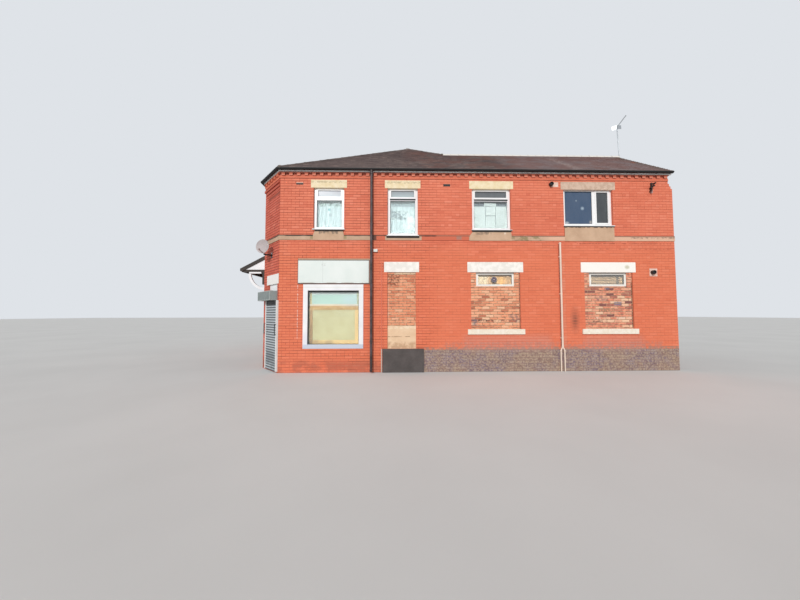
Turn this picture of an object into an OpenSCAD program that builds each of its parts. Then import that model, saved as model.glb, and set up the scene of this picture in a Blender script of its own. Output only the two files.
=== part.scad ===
// Two-storey corner shop in painted brick, with a canted corner and a long side elevation.
// X runs along the visible side elevation, Y runs into the building and Z is up.
// The origin is at the foot of the arris between the side elevation and the canted corner.

/* [Plan] */
// Length of the front wall, from the corner arris to the right-hand end
front_l = 12310; // [12000:10:12600]
// Cut-back of the canted corner along the front wall
cant = 830; // [750:10:900]
// Cut-back of the canted corner along the street wall
cant_depth = 940; // [850:10:1050]
// Depth of the narrow wing on the right, outside to outside
wing_d = 4400; // [4000:20:4800]
// Depth of the main block, outside to outside
main_d = 8600; // [8000:50:9500]
// Distance from the corner arris to the yard side of the main block
yard_x = 7590; // [7300:10:7800]
// Thickness of a one-brick wall with its plaster
wall_t = 235; // [215:5:260]
// Extra thickness of the right-hand end wall below its step
gable_step = 130; // [100:5:150]

/* [Levels] */
// Top of the ground floor
ground_floor_z = 160; // [150:5:200]
// Top of the upper floor
upper_floor_z = 3750; // [3700:10:3850]
// Thickness of the upper floor with joists and ceiling
upper_floor_t = 250; // [200:10:300]
// Underside of the string course
string_z = 4020; // [4000:5:4060]
// Height where the right-hand end wall steps in
gable_step_z = 5700; // [5600:5:5750]

/* [Roof] */
// Height of the top edge of the lowest tiles
eave_z = 6235; // [6180:5:6300]
// How far the tiles reach out past the wall face
eave_out = 110; // [90:5:130]
// Pitch of the front, yard and wing slopes in degrees
roof_pitch = 36; // [34:0.5:38]
// Plumb thickness of tiles, battens and boards
roof_t = 50; // [40:5:60]
// Distance of the main ridge from the corner arris
apex_x = 4135; // [4000:5:4200]
// How far the verge reaches out past the right-hand end wall
verge_out = 75; // [50:5:100]
// Outside radius of the ridge and hip tiles
ridge_r = 115; // [100:5:130]

/* [Upper windows] */
// Head of the upper window openings
upper_head_z = 5650; // [5600:5:5700]
// Left side of the first upper window
upper_x_1 = 1019; // [900:1:1100]
// Left side of the second upper window
upper_x_2 = 3294; // [3200:1:3400]
// Left side of the third upper window
upper_x_3 = 5921; // [5850:1:6000]
// Left side of the fourth upper window
upper_x_4 = 8812; // [8700:1:8900]
// Width of the two narrow upper windows
narrow_w = 936; // [900:2:960]
// Width of the third upper window
medium_w = 1214; // [1180:2:1240]
// Width of the fourth upper window
wide_w = 1568; // [1520:2:1600]
// Height of the first upper sill above the string course
upper_raise_1 = 186; // [150:1:220]
// Height of the third upper sill above the string course
upper_raise_3 = 178; // [150:1:220]
// Height of the fourth upper sill above the string course
upper_raise_4 = 328; // [300:1:360]
// Height of an upper lintel
upper_lintel_h = 247; // [220:1:260]
// How far an upper lintel bears on the brick at each side
upper_bearing = 84; // [70:1:110]

/* [Ground openings] */
// Head of the old ground openings
ground_head_z = 3035; // [3000:5:3050]
// Height of a ground lintel
ground_lintel_h = 315; // [300:5:330]
// How far a ground lintel bears on the brick at each side
lintel_bearing = 102; // [90:1:120]
// Left side of the shop window frame
shop_x = 741; // [700:1:800]
// Width of the shop window frame
shop_w = 1816; // [1780:2:1850]
// Underside of the shop window frame
shop_sill_z = 717; // [690:1:750]
// Head of the shop window frame
shop_head_z = 2657; // [2640:1:2670]
// Left side of the bricked-up door
door_x = 3290; // [3250:1:3350]
// Width of the bricked-up door
door_w = 868; // [840:2:900]
// Top of the block under the bricked-up door
step_z = 704; // [680:1:730]
// Top of the rendered panel in the bricked-up door
door_panel_z = 1392; // [1300:1:1450]
// Left side of the first bricked-up window
blocked_x_1 = 5852; // [5800:1:5900]
// Left side of the second bricked-up window
blocked_x_2 = 9398; // [9350:1:9450]
// Width of a bricked-up window
blocked_w = 1530; // [1500:2:1560]
// Top of the sill under a bricked-up window
blocked_sill_z = 1285; // [1250:1:1310]
// Height of the deep stone sill
blocked_sill_h = 158; // [150:1:180]
// Width of the small window let into the brick infill
vent_w = 1180; // [1140:2:1200]
// Height of the small window let into the brick infill
vent_h = 425; // [380:1:440]

/* [Joinery] */
// Depth from the wall face to a window frame
reveal = 75; // [60:5:95]
// Depth of a window frame from front to back
frame_d = 70; // [60:2:80]
// Face width of a window frame
frame_w = 80; // [70:1:90]
// Height of the opening light at the top of an upper window
toplight_h = 364; // [340:2:400]
// Thickness of a sealed glass unit
glass_t = 24; // [20:1:28]
// Face width of the casement set in an opening light
sash_w = 52; // [46:1:74]
// Thickness of a plastic window sill
sill_t = 30; // [25:1:35]
// How far a plastic window sill stands out from the wall
sill_out = 45; // [40:1:60]

/* [Corner door] */
// Distance of the corner door opening from the front arris
corner_door_x = 105; // [90:5:120]
// Width of the corner door opening
corner_door_w = 730; // [700:5:760]
// Head of the corner door opening
corner_head_z = 2690; // [2660:5:2720]
// Underside of the shutter box
shutter_box_z = 2180; // [2150:5:2210]
// Height of the shutter box
shutter_box_h = 288; // [270:1:300]
// How far the shutter box stands out from the wall
shutter_box_out = 235; // [220:5:250]
// Bottom of the shutter above the lowest ground
shutter_foot_z = 40; // [20:5:60]

/* [Street canopy] */
// How far the street canopy reaches out
canopy_out = 820; // [750:10:900]
// Underside of the canopy beam
canopy_z = 3172; // [3150:2:3200]
// Rise of the canopy from its outer edge to the wall
canopy_rise = 440; // [400:5:480]
// Length of the canopy along the street
canopy_l = 3600; // [3400:50:4000]

/* [Hidden] */

cut = 1;
course = 82.5;
edge_steps = 3;
brick_pitch = 235;
string_h = 155;
string_out = 25;
string_top = string_z + string_h;
dentil_w = 102;
dentil_h = 75;
dentil_out = 50;
oversail_h = 35;
neck_h = 85;
neck_out = 18;
board_out = 60;
board_h = 53;
board_z = eave_z - 103;
gutter_r = 55;
gutter_t = 4;
gutter_rim_z = eave_z - 30;
mitre_reach = 400;
seat = 0.3;
face_proud = 10;
lintel_d = 100;
corner_lintel_end = 980;
corner_lintel_h = 305;
infill_d = 102;
infill_recess = 40;
apron_out = string_out + 7;
apron_drop = 8;
sill_ear = 25;
vent_z = ground_head_z - 10 - vent_h;
pitch_tan = tan(roof_pitch);

// Main ridge sits over the meeting of the front, yard and street slopes
ridge_run = yard_x + eave_out - apex_x;
ridge_z = eave_z + pitch_tan * ridge_run;
apex_y = ridge_run - eave_out;
wing_ridge_y = wing_d / 2;
wing_ridge_z = eave_z + pitch_tan * (wing_ridge_y + eave_out);
hip_foot_x = yard_x - wing_d / 2;
verge_x = front_l - gable_step + verge_out;
street_tan = (ridge_z - eave_z) / (apex_x + cant + eave_out);

// Turns of the wall line at the two arrises of the canted face
front_turn = atan2(cant_depth, cant);
street_turn = 90 - front_turn;

// Corner slope rises square to the canted eave and ends at the apex
cant_l = norm([cant, cant_depth]);
cant_apex_d = apex_x * sin(front_turn) + apex_y * cos(front_turn);
corner_tan = (ridge_z - eave_z) / (cant_apex_d + eave_out);
eave_corner_front = [-eave_out * tan(front_turn / 2), -eave_out];
eave_corner_street = [-cant - eave_out, cant_depth - eave_out * tan(street_turn / 2)];

// Height of the roof underside above a point that lies d behind the wall face
function underside(slope, d) = eave_z - roof_t - seat + slope * (eave_out + d);

// Points of an arc about the origin
function arc(r, from, to, n) =
    [for (i = [0 : n]) let (a = from + (to - from) * i / n) [r * cos(a), r * sin(a)]];

module block(x0, x1, y0, y1, z0, z1) {
    translate([x0, y0, z0]) cube([x1 - x0, y1 - y0, z1 - z0]);
}

// Local frames: x along the wall, -y outwards, z up
module on_corner() {
    rotate([0, 0, 180 - front_turn]) mirror([0, 1, 0]) children();
}

module on_street() {
    translate([-cant, 0, 0]) mirror([1, -1, 0]) children();
}

module on_yard() {
    translate([yard_x, 0, 0]) rotate([0, 0, 90]) children();
}

module on_wing_rear() {
    translate([0, wing_d, 0]) mirror([0, 1, 0]) children();
}

// Wall from x0 to x1 with its top cut to the underside of a roof slope
module eaves_wall(x0, x1, slope) {
    translate([x0, 0, 0]) rotate([90, 0, 90])
        linear_extrude(x1 - x0)
            polygon([
                [0, 0], [wall_t, 0], [wall_t, underside(slope, wall_t)], [0, underside(slope, 0)]
            ]);
}

// Wedge that trims a run to the mitre of a corner at x = 0; side is 1 or -1
module mitre_cut(side, turn) {
    shift = side * mitre_reach * tan(turn / 2);
    linear_extrude(eave_z * 2)
        polygon([
            [-side * 2 * mitre_reach, -mitre_reach], [-shift, -mitre_reach],
            [shift, mitre_reach], [-side * 2 * mitre_reach, mitre_reach]
        ]);
}

// Run of a flat profile in [y, z] along x
module run_of(x0, x1) {
    translate([x0, 0, 0]) rotate([90, 0, 90]) linear_extrude(x1 - x0) children();
}

// Everything above the underside of a roof slope, in the frame of the wall that carries it
module above_slope(slope) {
    run_of(-main_d, main_d)
        polygon([
            [-main_d, underside(slope, -main_d)], [main_d, underside(slope, main_d)],
            [main_d, main_d * 2], [-main_d, main_d * 2]
        ]);
}

// Profile carried round the front, the canted corner and the street side, a hair apart at the mitres
module corner_run(front_end) {
    difference() {
        run_of(-mitre_reach, front_end) children();
        translate([seat / 2, 0, 0]) mitre_cut(1, front_turn);
    }
    on_corner() difference() {
        run_of(-mitre_reach, cant_l + mitre_reach) children();
        translate([seat / 2, 0, 0]) mitre_cut(1, front_turn);
        translate([cant_l - seat / 2, 0, 0]) mitre_cut(-1, street_turn);
    }
    on_street() difference() {
        run_of(cant_depth - mitre_reach, main_d) children();
        translate([cant_depth + seat / 2, 0, 0]) mitre_cut(1, street_turn);
    }
}

// Flat band profile reaching out from the wall face
module band(out, z0, z1) {
    translate([-out, z0]) square([out, z1 - z0]);
}

module opening(x, w, z0, z1) {
    block(x, x + w, -cut, wall_t + gable_step + cut, z0, z1);
}

module lintel_pocket(x, w, z, h, bearing) {
    block(x - bearing, x + w + bearing, -cut, lintel_d, z, z + h);
}

module lintel(x, w, z, h, bearing) {
    block(x - bearing, x + w + bearing, -face_proud, lintel_d, z, z + h);
}

// Upper windows of the front wall as [x, width, sill height]
upper_windows = [
    [upper_x_1, narrow_w, string_top + upper_raise_1],
    [upper_x_2, narrow_w, string_top],
    [upper_x_3, medium_w, string_top + upper_raise_3],
    [upper_x_4, wide_w, string_top + upper_raise_4]
];
// Upper windows whose sills were raised above the string course
raised_windows = [upper_windows[0], upper_windows[2], upper_windows[3]];
// Ground openings of the front wall that carry a stone lintel, as [x, width]
ground_openings = [[door_x, door_w], [blocked_x_1, blocked_w], [blocked_x_2, blocked_w]];
blocked_windows = [blocked_x_1, blocked_x_2];
// Openings of the unseen walls, as [x, width]
street_bay = 3200;
yard_bay = 1300;
street_upper = [[cant_depth + upper_x_1, narrow_w], [cant_depth + upper_x_1 + street_bay, medium_w]];
street_shop_x = cant_depth + shop_x;
yard_openings = [[wing_d + yard_bay, medium_w]];
wing_openings = [[(yard_x + front_l - gable_step - medium_w) / 2, medium_w]];
rear_ground_sill = blocked_sill_z;

module upper_opening(x, w) {
    opening(x, w, string_top - sill_t, upper_head_z);
    lintel_pocket(x, w, upper_head_z, upper_lintel_h, upper_bearing);
}

module front_openings() {
    for (u = upper_windows) upper_opening(u[0], u[1]);
    opening(shop_x, shop_w, shop_sill_z, shop_head_z);
    opening(door_x, door_w, step_z, ground_head_z);
    for (x = blocked_windows) {
        opening(x, blocked_w, blocked_sill_z, ground_head_z);
        block(x - lintel_bearing, x + blocked_w + lintel_bearing, -cut, lintel_d,
            blocked_sill_z - blocked_sill_h, blocked_sill_z);
    }
    for (g = ground_openings) lintel_pocket(g[0], g[1], ground_head_z, ground_lintel_h, lintel_bearing);
}

module rear_openings(list) {
    for (o = list) {
        upper_opening(o[0], o[1]);
        opening(o[0], o[1], rear_ground_sill - sill_t, ground_head_z);
        lintel_pocket(o[0], o[1], ground_head_z, ground_lintel_h, lintel_bearing);
    }
}

// Right-hand edge stepping in over a few courses
module edge_cut(y0, y1) {
    for (i = [1 : edge_steps])
        block(front_l - gable_step * i / edge_steps, front_l + cut, y0, y1,
            gable_step_z + course * (i - 1), eave_z * 2);
}

module front_wall() {
    color("salmon") difference() {
        eaves_wall(-cut, front_l, pitch_tan);
        mitre_cut(1, front_turn);
        on_corner() above_slope(corner_tan);
        front_openings();
        edge_cut(-cut, wall_t + cut);
    }
}

module corner_wall() {
    color("salmon") on_corner() difference() {
        eaves_wall(-cut, cant_l + cut, corner_tan);
        mitre_cut(1, front_turn);
        translate([cant_l, 0, 0]) mitre_cut(-1, street_turn);
        opening(corner_door_x, corner_door_w, shutter_foot_z, corner_head_z);
        block(-mitre_reach, corner_lintel_end, -cut, lintel_d, corner_head_z, corner_head_z + corner_lintel_h);
    }
}

module street_wall() {
    color("salmon") difference() {
        on_street() difference() {
            eaves_wall(cant_depth - cut, main_d - wall_t, street_tan);
            translate([cant_depth, 0, 0]) mitre_cut(1, street_turn);
            for (o = street_upper) upper_opening(o[0], o[1]);
            opening(street_shop_x, shop_w, shop_sill_z, shop_head_z);
        }
        on_corner() above_slope(corner_tan);
    }
}

// Rear party wall of the main block, carried up to the underside of the roof
module party_wall() {
    color("salmon") translate([0, main_d, 0]) rotate([90, 0, 0]) linear_extrude(wall_t)
        polygon([
            [-cant, 0], [yard_x, 0], [yard_x, underside(pitch_tan, 0)], [apex_x, ridge_z - roof_t - seat],
            [-cant, underside(street_tan, 0)]
        ]);
}

module yard_wall() {
    color("salmon") on_yard() difference() {
        eaves_wall(wing_d - wall_t, main_d - wall_t, pitch_tan);
        rear_openings(yard_openings);
    }
}

module wing_rear_wall() {
    color("salmon") on_wing_rear() difference() {
        eaves_wall(yard_x, front_l, pitch_tan);
        rear_openings(wing_openings);
        edge_cut(-cut, wall_t + cut);
    }
}

module gable_profile() {
    polygon([
        [wall_t, 0], [wing_d - wall_t, 0], [wing_d - wall_t, underside(pitch_tan, wall_t)],
        [wing_ridge_y, wing_ridge_z - roof_t - seat], [wall_t, underside(pitch_tan, wall_t)]
    ]);
}

module gable_wall() {
    color("salmon") difference() {
        translate([front_l - gable_step - wall_t, 0, 0]) rotate([90, 0, 90])
            linear_extrude(wall_t + gable_step) gable_profile();
        edge_cut(0, wing_d);
    }
}

// Floor inside the walls: one slab in the main block and one in the wing, a hair apart
module floor_slabs(h) {
    main_end = yard_x - wall_t;
    linear_extrude(h) polygon([
        [wall_t * tan(front_turn / 2), wall_t], [main_end, wall_t], [main_end, main_d - wall_t],
        [-cant + wall_t, main_d - wall_t], [-cant + wall_t, cant_depth + wall_t * tan(street_turn / 2)]
    ]);
    block(main_end + seat, front_l - gable_step - wall_t, wall_t, wing_d - wall_t, 0, h);
}

module ground_floor() {
    color("dimgray") floor_slabs(ground_floor_z);
}

module upper_floor() {
    color("burlywood") translate([0, 0, upper_floor_z - upper_floor_t]) floor_slabs(upper_floor_t);
}

// Roof slab under a flat outline of top points, dropped plumb by the roof thickness
module roof_slab(points) {
    n = len(points);
    polyhedron(
        points = [for (p = points) p, for (p = points) p - [0, 0, roof_t]],
        faces = [
            [for (i = [n - 1 : -1 : 0]) i],
            [for (i = [0 : n - 1]) n + i],
            for (i = [0 : n - 1]) [i, (i + 1) % n, n + (i + 1) % n, n + i]
        ]
    );
}

apex = [apex_x, apex_y, ridge_z];
ridge_end = [apex_x, main_d, ridge_z];
hip_foot = [hip_foot_x, wing_ridge_y, wing_ridge_z];
wing_ridge_end = [verge_x, wing_ridge_y, wing_ridge_z];
capping_end_out = 55;
front_corner_tile = [eave_corner_front[0], eave_corner_front[1], eave_z];
street_corner_tile = [eave_corner_street[0], eave_corner_street[1], eave_z];
valley_foot = [yard_x + eave_out, wing_d + eave_out, eave_z];

module front_roof_slope() {
    eave_break = [hip_foot_x, -eave_out, eave_z];
    color("dimgray") {
        roof_slab([front_corner_tile, eave_break, hip_foot, apex]);
        roof_slab([eave_break, [verge_x, -eave_out, eave_z], wing_ridge_end, hip_foot]);
    }
}

module corner_roof_slope() {
    color("dimgray") roof_slab([street_corner_tile, front_corner_tile, apex]);
}

module street_roof_slope() {
    color("dimgray")
        roof_slab([[-cant - eave_out, main_d, eave_z], street_corner_tile, apex, ridge_end]);
}

module yard_roof_slope() {
    color("dimgray")
        roof_slab([valley_foot, [yard_x + eave_out, main_d, eave_z], ridge_end, apex, hip_foot]);
}

module wing_rear_roof_slope() {
    color("dimgray")
        roof_slab([[verge_x, wing_d + eave_out, eave_z], valley_foot, hip_foot, wing_ridge_end]);
}

// Outward normals of the roof slopes
front_normal = [0, -pitch_tan, 1];
rear_normal = [0, pitch_tan, 1];
yard_normal = [pitch_tan, 0, 1];
street_normal = [-street_tan, 0, 1];
corner_normal = [-corner_tan * sin(front_turn), -corner_tan * cos(front_turn), 1];

// Angle at which a slope falls away from a ridge or hip, seen along v; turn is -1 for the left side
function fall_angle(v, normal, turn) =
    let (
        along = v / norm(v),
        across = cross([0, 0, 1], along) / norm(cross([0, 0, 1], along)),
        side = turn * cross(along, normal)
    )
    atan2(side * cross(along, across), side * across);

// Centre of a capping lies this far under the line, so that its crown stands only a little proud
ridge_drop = ridge_r - 20;

// Angle at the capping's centre under which it meets a slope that falls away at angle a
function bed_angle(a) =
    let (reach = sqrt(pow(ridge_r, 2) - pow(ridge_drop * cos(a), 2)) - ridge_drop * sin(a))
    atan2(reach * sin(a) + ridge_drop, reach * cos(a));

// Round capping from a to b, bedded on the slopes to the left and right of the line
module capping(a, b, left, right) {
    v = b - a;
    low = bed_angle(fall_angle(v, left, -1));
    sweep = (bed_angle(fall_angle(v, right, 1)) + 360 - low) % 360;
    steps = 12;
    translate(a) rotate([0, 0, atan2(v[1], v[0])])
        rotate([0, -atan2(v[2], norm([v[0], v[1]])), 0]) rotate([90, 0, 90])
            linear_extrude(norm(v))
                polygon([
                    [0, 0],
                    for (i = [0 : steps])
                        [0, -ridge_drop]
                            + ridge_r * [cos(low + sweep * i / steps), sin(low + sweep * i / steps)]
                ]);
}

module ridge_tiles() {
    color("silver") {
        capping(hip_foot, wing_ridge_end + [capping_end_out, 0, 0], rear_normal, front_normal);
        capping(apex, ridge_end, street_normal, yard_normal);
        capping(front_corner_tile, apex, corner_normal, front_normal);
        capping(street_corner_tile, apex, street_normal, corner_normal);
        capping(hip_foot, apex, front_normal, yard_normal);
    }
}

module eaves_board() {
    color("white") corner_run(verge_x) band(board_out, board_z, board_z + board_h);
}

module gutter() {
    color("#202020") corner_run(verge_x)
        translate([-board_out - gutter_r, gutter_rim_z])
            polygon(concat(arc(gutter_r, 180, 360, 12), arc(gutter_r - gutter_t, 360, 180, 12)));
}

dentil_top = board_z - oversail_h;
neck_top = dentil_top - dentil_h;
module dentil_row(x0, x1) {
    n = floor((x1 - x0 - dentil_w) / brick_pitch);
    first = (x0 + x1 - dentil_w - n * brick_pitch) / 2;
    for (i = [0 : n])
        block(first + i * brick_pitch, first + i * brick_pitch + dentil_w, -dentil_out, 0,
            neck_top, dentil_top);
}

// Eaves brickwork: a neck course, a row of dentil headers and an oversailing course
module dentil_course() {
    color("salmon") {
        corner_run(front_l - gable_step) {
            band(dentil_out, dentil_top, board_z);
            band(neck_out, neck_top - neck_h, neck_top);
        }
        dentil_row(0, front_l - gable_step);
        on_corner() dentil_row(0, cant_l);
        on_street() dentil_row(cant_depth, main_d);
    }
}

// String course, notched for the sill that sits in it and for the rendered aprons
module string_course() {
    color("wheat") difference() {
        corner_run(front_l) band(string_out, string_z, string_top);
        for (i = [0 : 2]) apron(i, -cut, string_out + cut);
        window_sill(upper_x_2, narrow_w, string_top);
        on_street() for (o = street_upper) window_sill(o[0], o[1], string_top);
    }
}

corbel_pitch = 112;
corbel_z = 5585;
corbel_h = 72;
corbel_step = 16;
corbel_inset = 12;
corbel_shorten = 100;
module corner_corbels() {
    color("salmon") on_corner()
        for (i = [1 : 3])
            block(corbel_inset, cant_l - corbel_inset - corbel_shorten * (3 - i), -corbel_step * i, 0,
                corbel_z + (i - 1) * corbel_pitch, corbel_z + (i - 1) * corbel_pitch + corbel_h);
}

module upper_lintel_row(list) {
    for (o = list) lintel(o[0], o[1], upper_head_z, upper_lintel_h, upper_bearing);
}

module upper_lintels() {
    color("wheat") {
        upper_lintel_row(upper_windows);
        on_street() upper_lintel_row(street_upper);
        on_yard() upper_lintel_row(yard_openings);
        on_wing_rear() upper_lintel_row(wing_openings);
    }
}

module ground_lintel_row(list) {
    for (o = list) lintel(o[0], o[1], ground_head_z, ground_lintel_h, lintel_bearing);
}

// Lintel of the corner door, running to the arris and cut there to the mitre
module corner_lintel() {
    on_corner() difference() {
        block(-mitre_reach, corner_lintel_end, -face_proud, lintel_d,
            corner_head_z, corner_head_z + corner_lintel_h);
        translate([seat, 0, 0]) mitre_cut(1, front_turn);
    }
}

module ground_lintels() {
    color("ivory") {
        ground_lintel_row(ground_openings);
        on_yard() ground_lintel_row(yard_openings);
        on_wing_rear() ground_lintel_row(wing_openings);
        corner_lintel();
    }
}

// Plastic sill: a nose with short ears outside the wall and a tongue under the frame
module window_sill(x, w, z) {
    block(x - sill_ear, x + w + sill_ear, -sill_out, 0, z - sill_t, z);
    block(x, x + w, -sill_out, reveal + frame_d, z - sill_t, z);
}

module window_sills() {
    color("white") {
        for (u = upper_windows) window_sill(u[0], u[1], u[2]);
        on_street() for (o = street_upper) window_sill(o[0], o[1], string_top);
        on_yard() for (o = yard_openings, z = [string_top, rear_ground_sill]) window_sill(o[0], o[1], z);
        on_wing_rear() for (o = wing_openings, z = [string_top, rear_ground_sill]) window_sill(o[0], o[1], z);
    }
}

stone_sill_out = 45;
stone_sill_lap = 10;
module blocked_window_sills() {
    color("ivory") for (x = blocked_windows) {
        block(x - lintel_bearing, x + blocked_w + lintel_bearing, -face_proud, lintel_d,
            blocked_sill_z - blocked_sill_h, blocked_sill_z);
        block(x - lintel_bearing - stone_sill_lap, x + blocked_w + lintel_bearing + stone_sill_lap,
            -stone_sill_out, 0, blocked_sill_z - blocked_sill_h, blocked_sill_z);
    }
}

// How far the foot of each patch laps past the opening, and how far its top stands in, left and right
apron_foot = [[0, 0], [82, 0], [0, 0]];
apron_head = [[62, 30], [30, 20], [0, 0]];

// Rendered patch under a raised sill, upright across the string course and drawn in above it
module apron(i, from, out) {
    u = raised_windows[i];
    left = u[0] - apron_foot[i][0];
    right = u[0] + u[1] + apron_foot[i][1];
    translate([0, -from, 0]) rotate([90, 0, 0]) linear_extrude(out - from)
        polygon([
            [left, string_z - apron_drop], [right, string_z - apron_drop], [right, string_top],
            [u[0] + u[1] - apron_head[i][1], u[2] - sill_t], [u[0] + apron_head[i][0], u[2] - sill_t],
            [left, string_top]
        ]);
}

// Patches that lap over the string course and close the old openings below the raised sills
module window_aprons() {
    color("wheat") for (i = [0 : 2]) {
        u = raised_windows[i];
        apron(i, 0, apron_out);
        block(u[0], u[0] + u[1], 0, infill_d, string_top - sill_t, u[2] - sill_t);
    }
}

// Casement standing proud of the frame around a hole from x0 to x1 and z0 to z1
sash_lap = 20;
sash_out = 12;
sash_in = sash_w - sash_lap;
module casement(x0, x1, z0, z1) {
    difference() {
        block(x0 - sash_lap, x1 + sash_lap, -sash_out, frame_d - sash_out, z0 - sash_lap, z1 + sash_lap);
        block(x0 + sash_in, x1 - sash_in, -sash_out - cut, frame_d + cut, z0 + sash_in, z1 - sash_in);
    }
}

head_w = 22;
// Frame with a fixed pane below and an opening light above
module sash_frame(x, w, z0, z1) {
    light_z = z1 - toplight_h;
    translate([x, reveal, 0]) {
        difference() {
            block(0, w, 0, frame_d, z0, z1);
            block(frame_w, w - frame_w, -cut, frame_d + cut, z0 + frame_w, light_z);
            block(frame_w, w - frame_w, -cut, frame_d + cut, light_z + frame_w, z1 - head_w);
        }
        casement(frame_w, w - frame_w, light_z + frame_w, z1 - head_w);
    }
}

module sash_glass(x, w, z0, z1) {
    light_z = z1 - toplight_h;
    translate([x, reveal + (frame_d - glass_t) / 2, 0]) {
        block(frame_w, w - frame_w, 0, glass_t, z0 + frame_w, light_z);
        block(frame_w + sash_in, w - frame_w - sash_in, 0, glass_t,
            light_z + frame_w + sash_in, z1 - head_w - sash_in);
    }
}

// Wide window: one fixed pane and a narrow side-hung light on the right
wide_pane_w = 870;
wide_mullion_w = 108;
wide_light_x = frame_w + wide_pane_w + wide_mullion_w;
wide_sill_z = string_top + upper_raise_4;
module wide_frame() {
    translate([upper_x_4, reveal, 0]) {
        difference() {
            block(0, wide_w, 0, frame_d, wide_sill_z, upper_head_z);
            block(frame_w, frame_w + wide_pane_w, -cut, frame_d + cut,
                wide_sill_z + frame_w, upper_head_z - head_w);
            block(wide_light_x, wide_w - frame_w, -cut, frame_d + cut,
                wide_sill_z + frame_w, upper_head_z - head_w);
        }
        casement(wide_light_x, wide_w - frame_w, wide_sill_z + frame_w, upper_head_z - head_w);
    }
}

module wide_glass() {
    translate([upper_x_4, reveal + (frame_d - glass_t) / 2, 0]) {
        block(frame_w, frame_w + wide_pane_w, 0, glass_t, wide_sill_z + frame_w, upper_head_z - head_w);
        block(wide_light_x + sash_in, wide_w - frame_w - sash_in, 0, glass_t,
            wide_sill_z + frame_w + sash_in, upper_head_z - head_w - sash_in);
    }
}

module upper_windows_front() {
    color("white") {
        for (u = [upper_windows[0], upper_windows[1], upper_windows[2]])
            sash_frame(u[0], u[1], u[2], upper_head_z);
        wide_frame();
    }
}

// Deep white surround of a shop window
surround_w = 136;
surround_head_h = 185;
surround_foot_h = 126;
surround_out = 20;
surround_d = 80;
surround_glass_y = 46;
shop_glass_t = 12;
module shop_frame(x) {
    difference() {
        block(x, x + shop_w, -surround_out, surround_d, shop_sill_z, shop_head_z);
        block(x + surround_w, x + shop_w - surround_w, -surround_out - cut, surround_d + cut,
            shop_sill_z + surround_foot_h, shop_head_z - surround_head_h);
    }
}

module shop_glass(x) {
    block(x + surround_w, x + shop_w - surround_w, surround_glass_y, surround_glass_y + shop_glass_t,
        shop_sill_z + surround_foot_h, shop_head_z - surround_head_h);
}

module shop_window_frames() {
    color("white") {
        shop_frame(shop_x);
        on_street() shop_frame(street_shop_x);
    }
}

// Vent window: a shallow frame with one top-hung light
vent_d = 60;
vent_frame_w = 32;
vent_glass_t = 20;
vent_recess = infill_recess + 10;
vent_inset = (blocked_w - vent_w) / 2;
module vent_frame(x) {
    translate([x + vent_inset, vent_recess, vent_z]) {
        difference() {
            cube([vent_w, vent_d, vent_h]);
            translate([vent_frame_w, -cut, vent_frame_w])
                cube([vent_w - 2 * vent_frame_w, vent_d + 2 * cut, vent_h - 2 * vent_frame_w]);
        }
        difference() {
            block(vent_frame_w / 2, vent_w - vent_frame_w / 2, -sash_out, vent_d - sash_out,
                vent_frame_w / 2, vent_h - vent_frame_w / 2);
            block(vent_frame_w * 2, vent_w - vent_frame_w * 2, -sash_out - cut, vent_d + cut,
                vent_frame_w * 2, vent_h - vent_frame_w * 2);
        }
    }
}

module vent_glass(x) {
    translate([x + vent_inset, vent_recess + (vent_d - vent_glass_t) / 2, vent_z])
        block(vent_frame_w * 2, vent_w - vent_frame_w * 2, 0, vent_glass_t,
            vent_frame_w * 2, vent_h - vent_frame_w * 2);
}

module vent_windows() {
    color("white") for (x = blocked_windows) vent_frame(x);
}

module front_glass() {
    color("lightblue", 0.5) {
        for (u = [upper_windows[0], upper_windows[1], upper_windows[2]])
            sash_glass(u[0], u[1], u[2], upper_head_z);
        wide_glass();
        shop_glass(shop_x);
        for (x = blocked_windows) vent_glass(x);
    }
}

// Extract fan in the middle of the first vent window
fan_r = 82;
fan_out = 38;
fan_shift = 30;
module window_fan() {
    color("gray")
        translate([
            blocked_x_1 + blocked_w / 2 - fan_shift, vent_recess + (vent_d - vent_glass_t) / 2,
            vent_z + vent_h / 2
        ])
            rotate([90, 0, 0]) difference() {
                cylinder(r = fan_r, h = fan_out, $fn = 48);
                translate([0, 0, fan_out - 12]) cylinder(r = fan_r - 14, h = 20, $fn = 48);
            }
}

// Framed board that closes the shop window from inside, with a plain head panel over a sunk panel
board_y = 120;
board_sheet_t = 20;
board_rail_t = 16;
board_x = shop_x + surround_w;
board_w = shop_w - 2 * surround_w;
board_foot_z = shop_sill_z + surround_foot_h;
board_stile_w = 130;
board_foot_h = 120;
board_panel_z = 1885;
board_rail_h = 175;
module display_board() {
    color("khaki") {
        block(board_x - surround_w, board_x + board_w + surround_w, board_y, board_y + board_sheet_t,
            shop_sill_z, shop_head_z);
        difference() {
            block(board_x + course / 2, board_x + board_w - course / 4, board_y - board_rail_t, board_y + cut,
                board_foot_z, board_panel_z + board_rail_h);
            block(board_x + board_stile_w, board_x + board_w - board_stile_w, board_y - board_rail_t - cut,
                board_y, board_foot_z + board_foot_h, board_panel_z);
        }
    }
}

// Bare sign: a coated sheet on an older timber fascia board
sign_x = 588;
sign_w = 2134;
sign_z = 2690;
sign_h = 692;
sign_t = 18;
fascia_lap = 12;
fascia_top_lap = 50;
fascia_end_lap = 72;
fascia_t = 34;
module sign_board() {
    color("white")
        block(sign_x, sign_x + sign_w, -fascia_t - sign_t, -fascia_t, sign_z, sign_z + sign_h);
}

module sign_backing() {
    color("saddlebrown")
        block(sign_x - fascia_lap, sign_x + sign_w + fascia_end_lap, -fascia_t, 0,
            sign_z - fascia_lap, sign_z + sign_h + fascia_top_lap);
}

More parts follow.
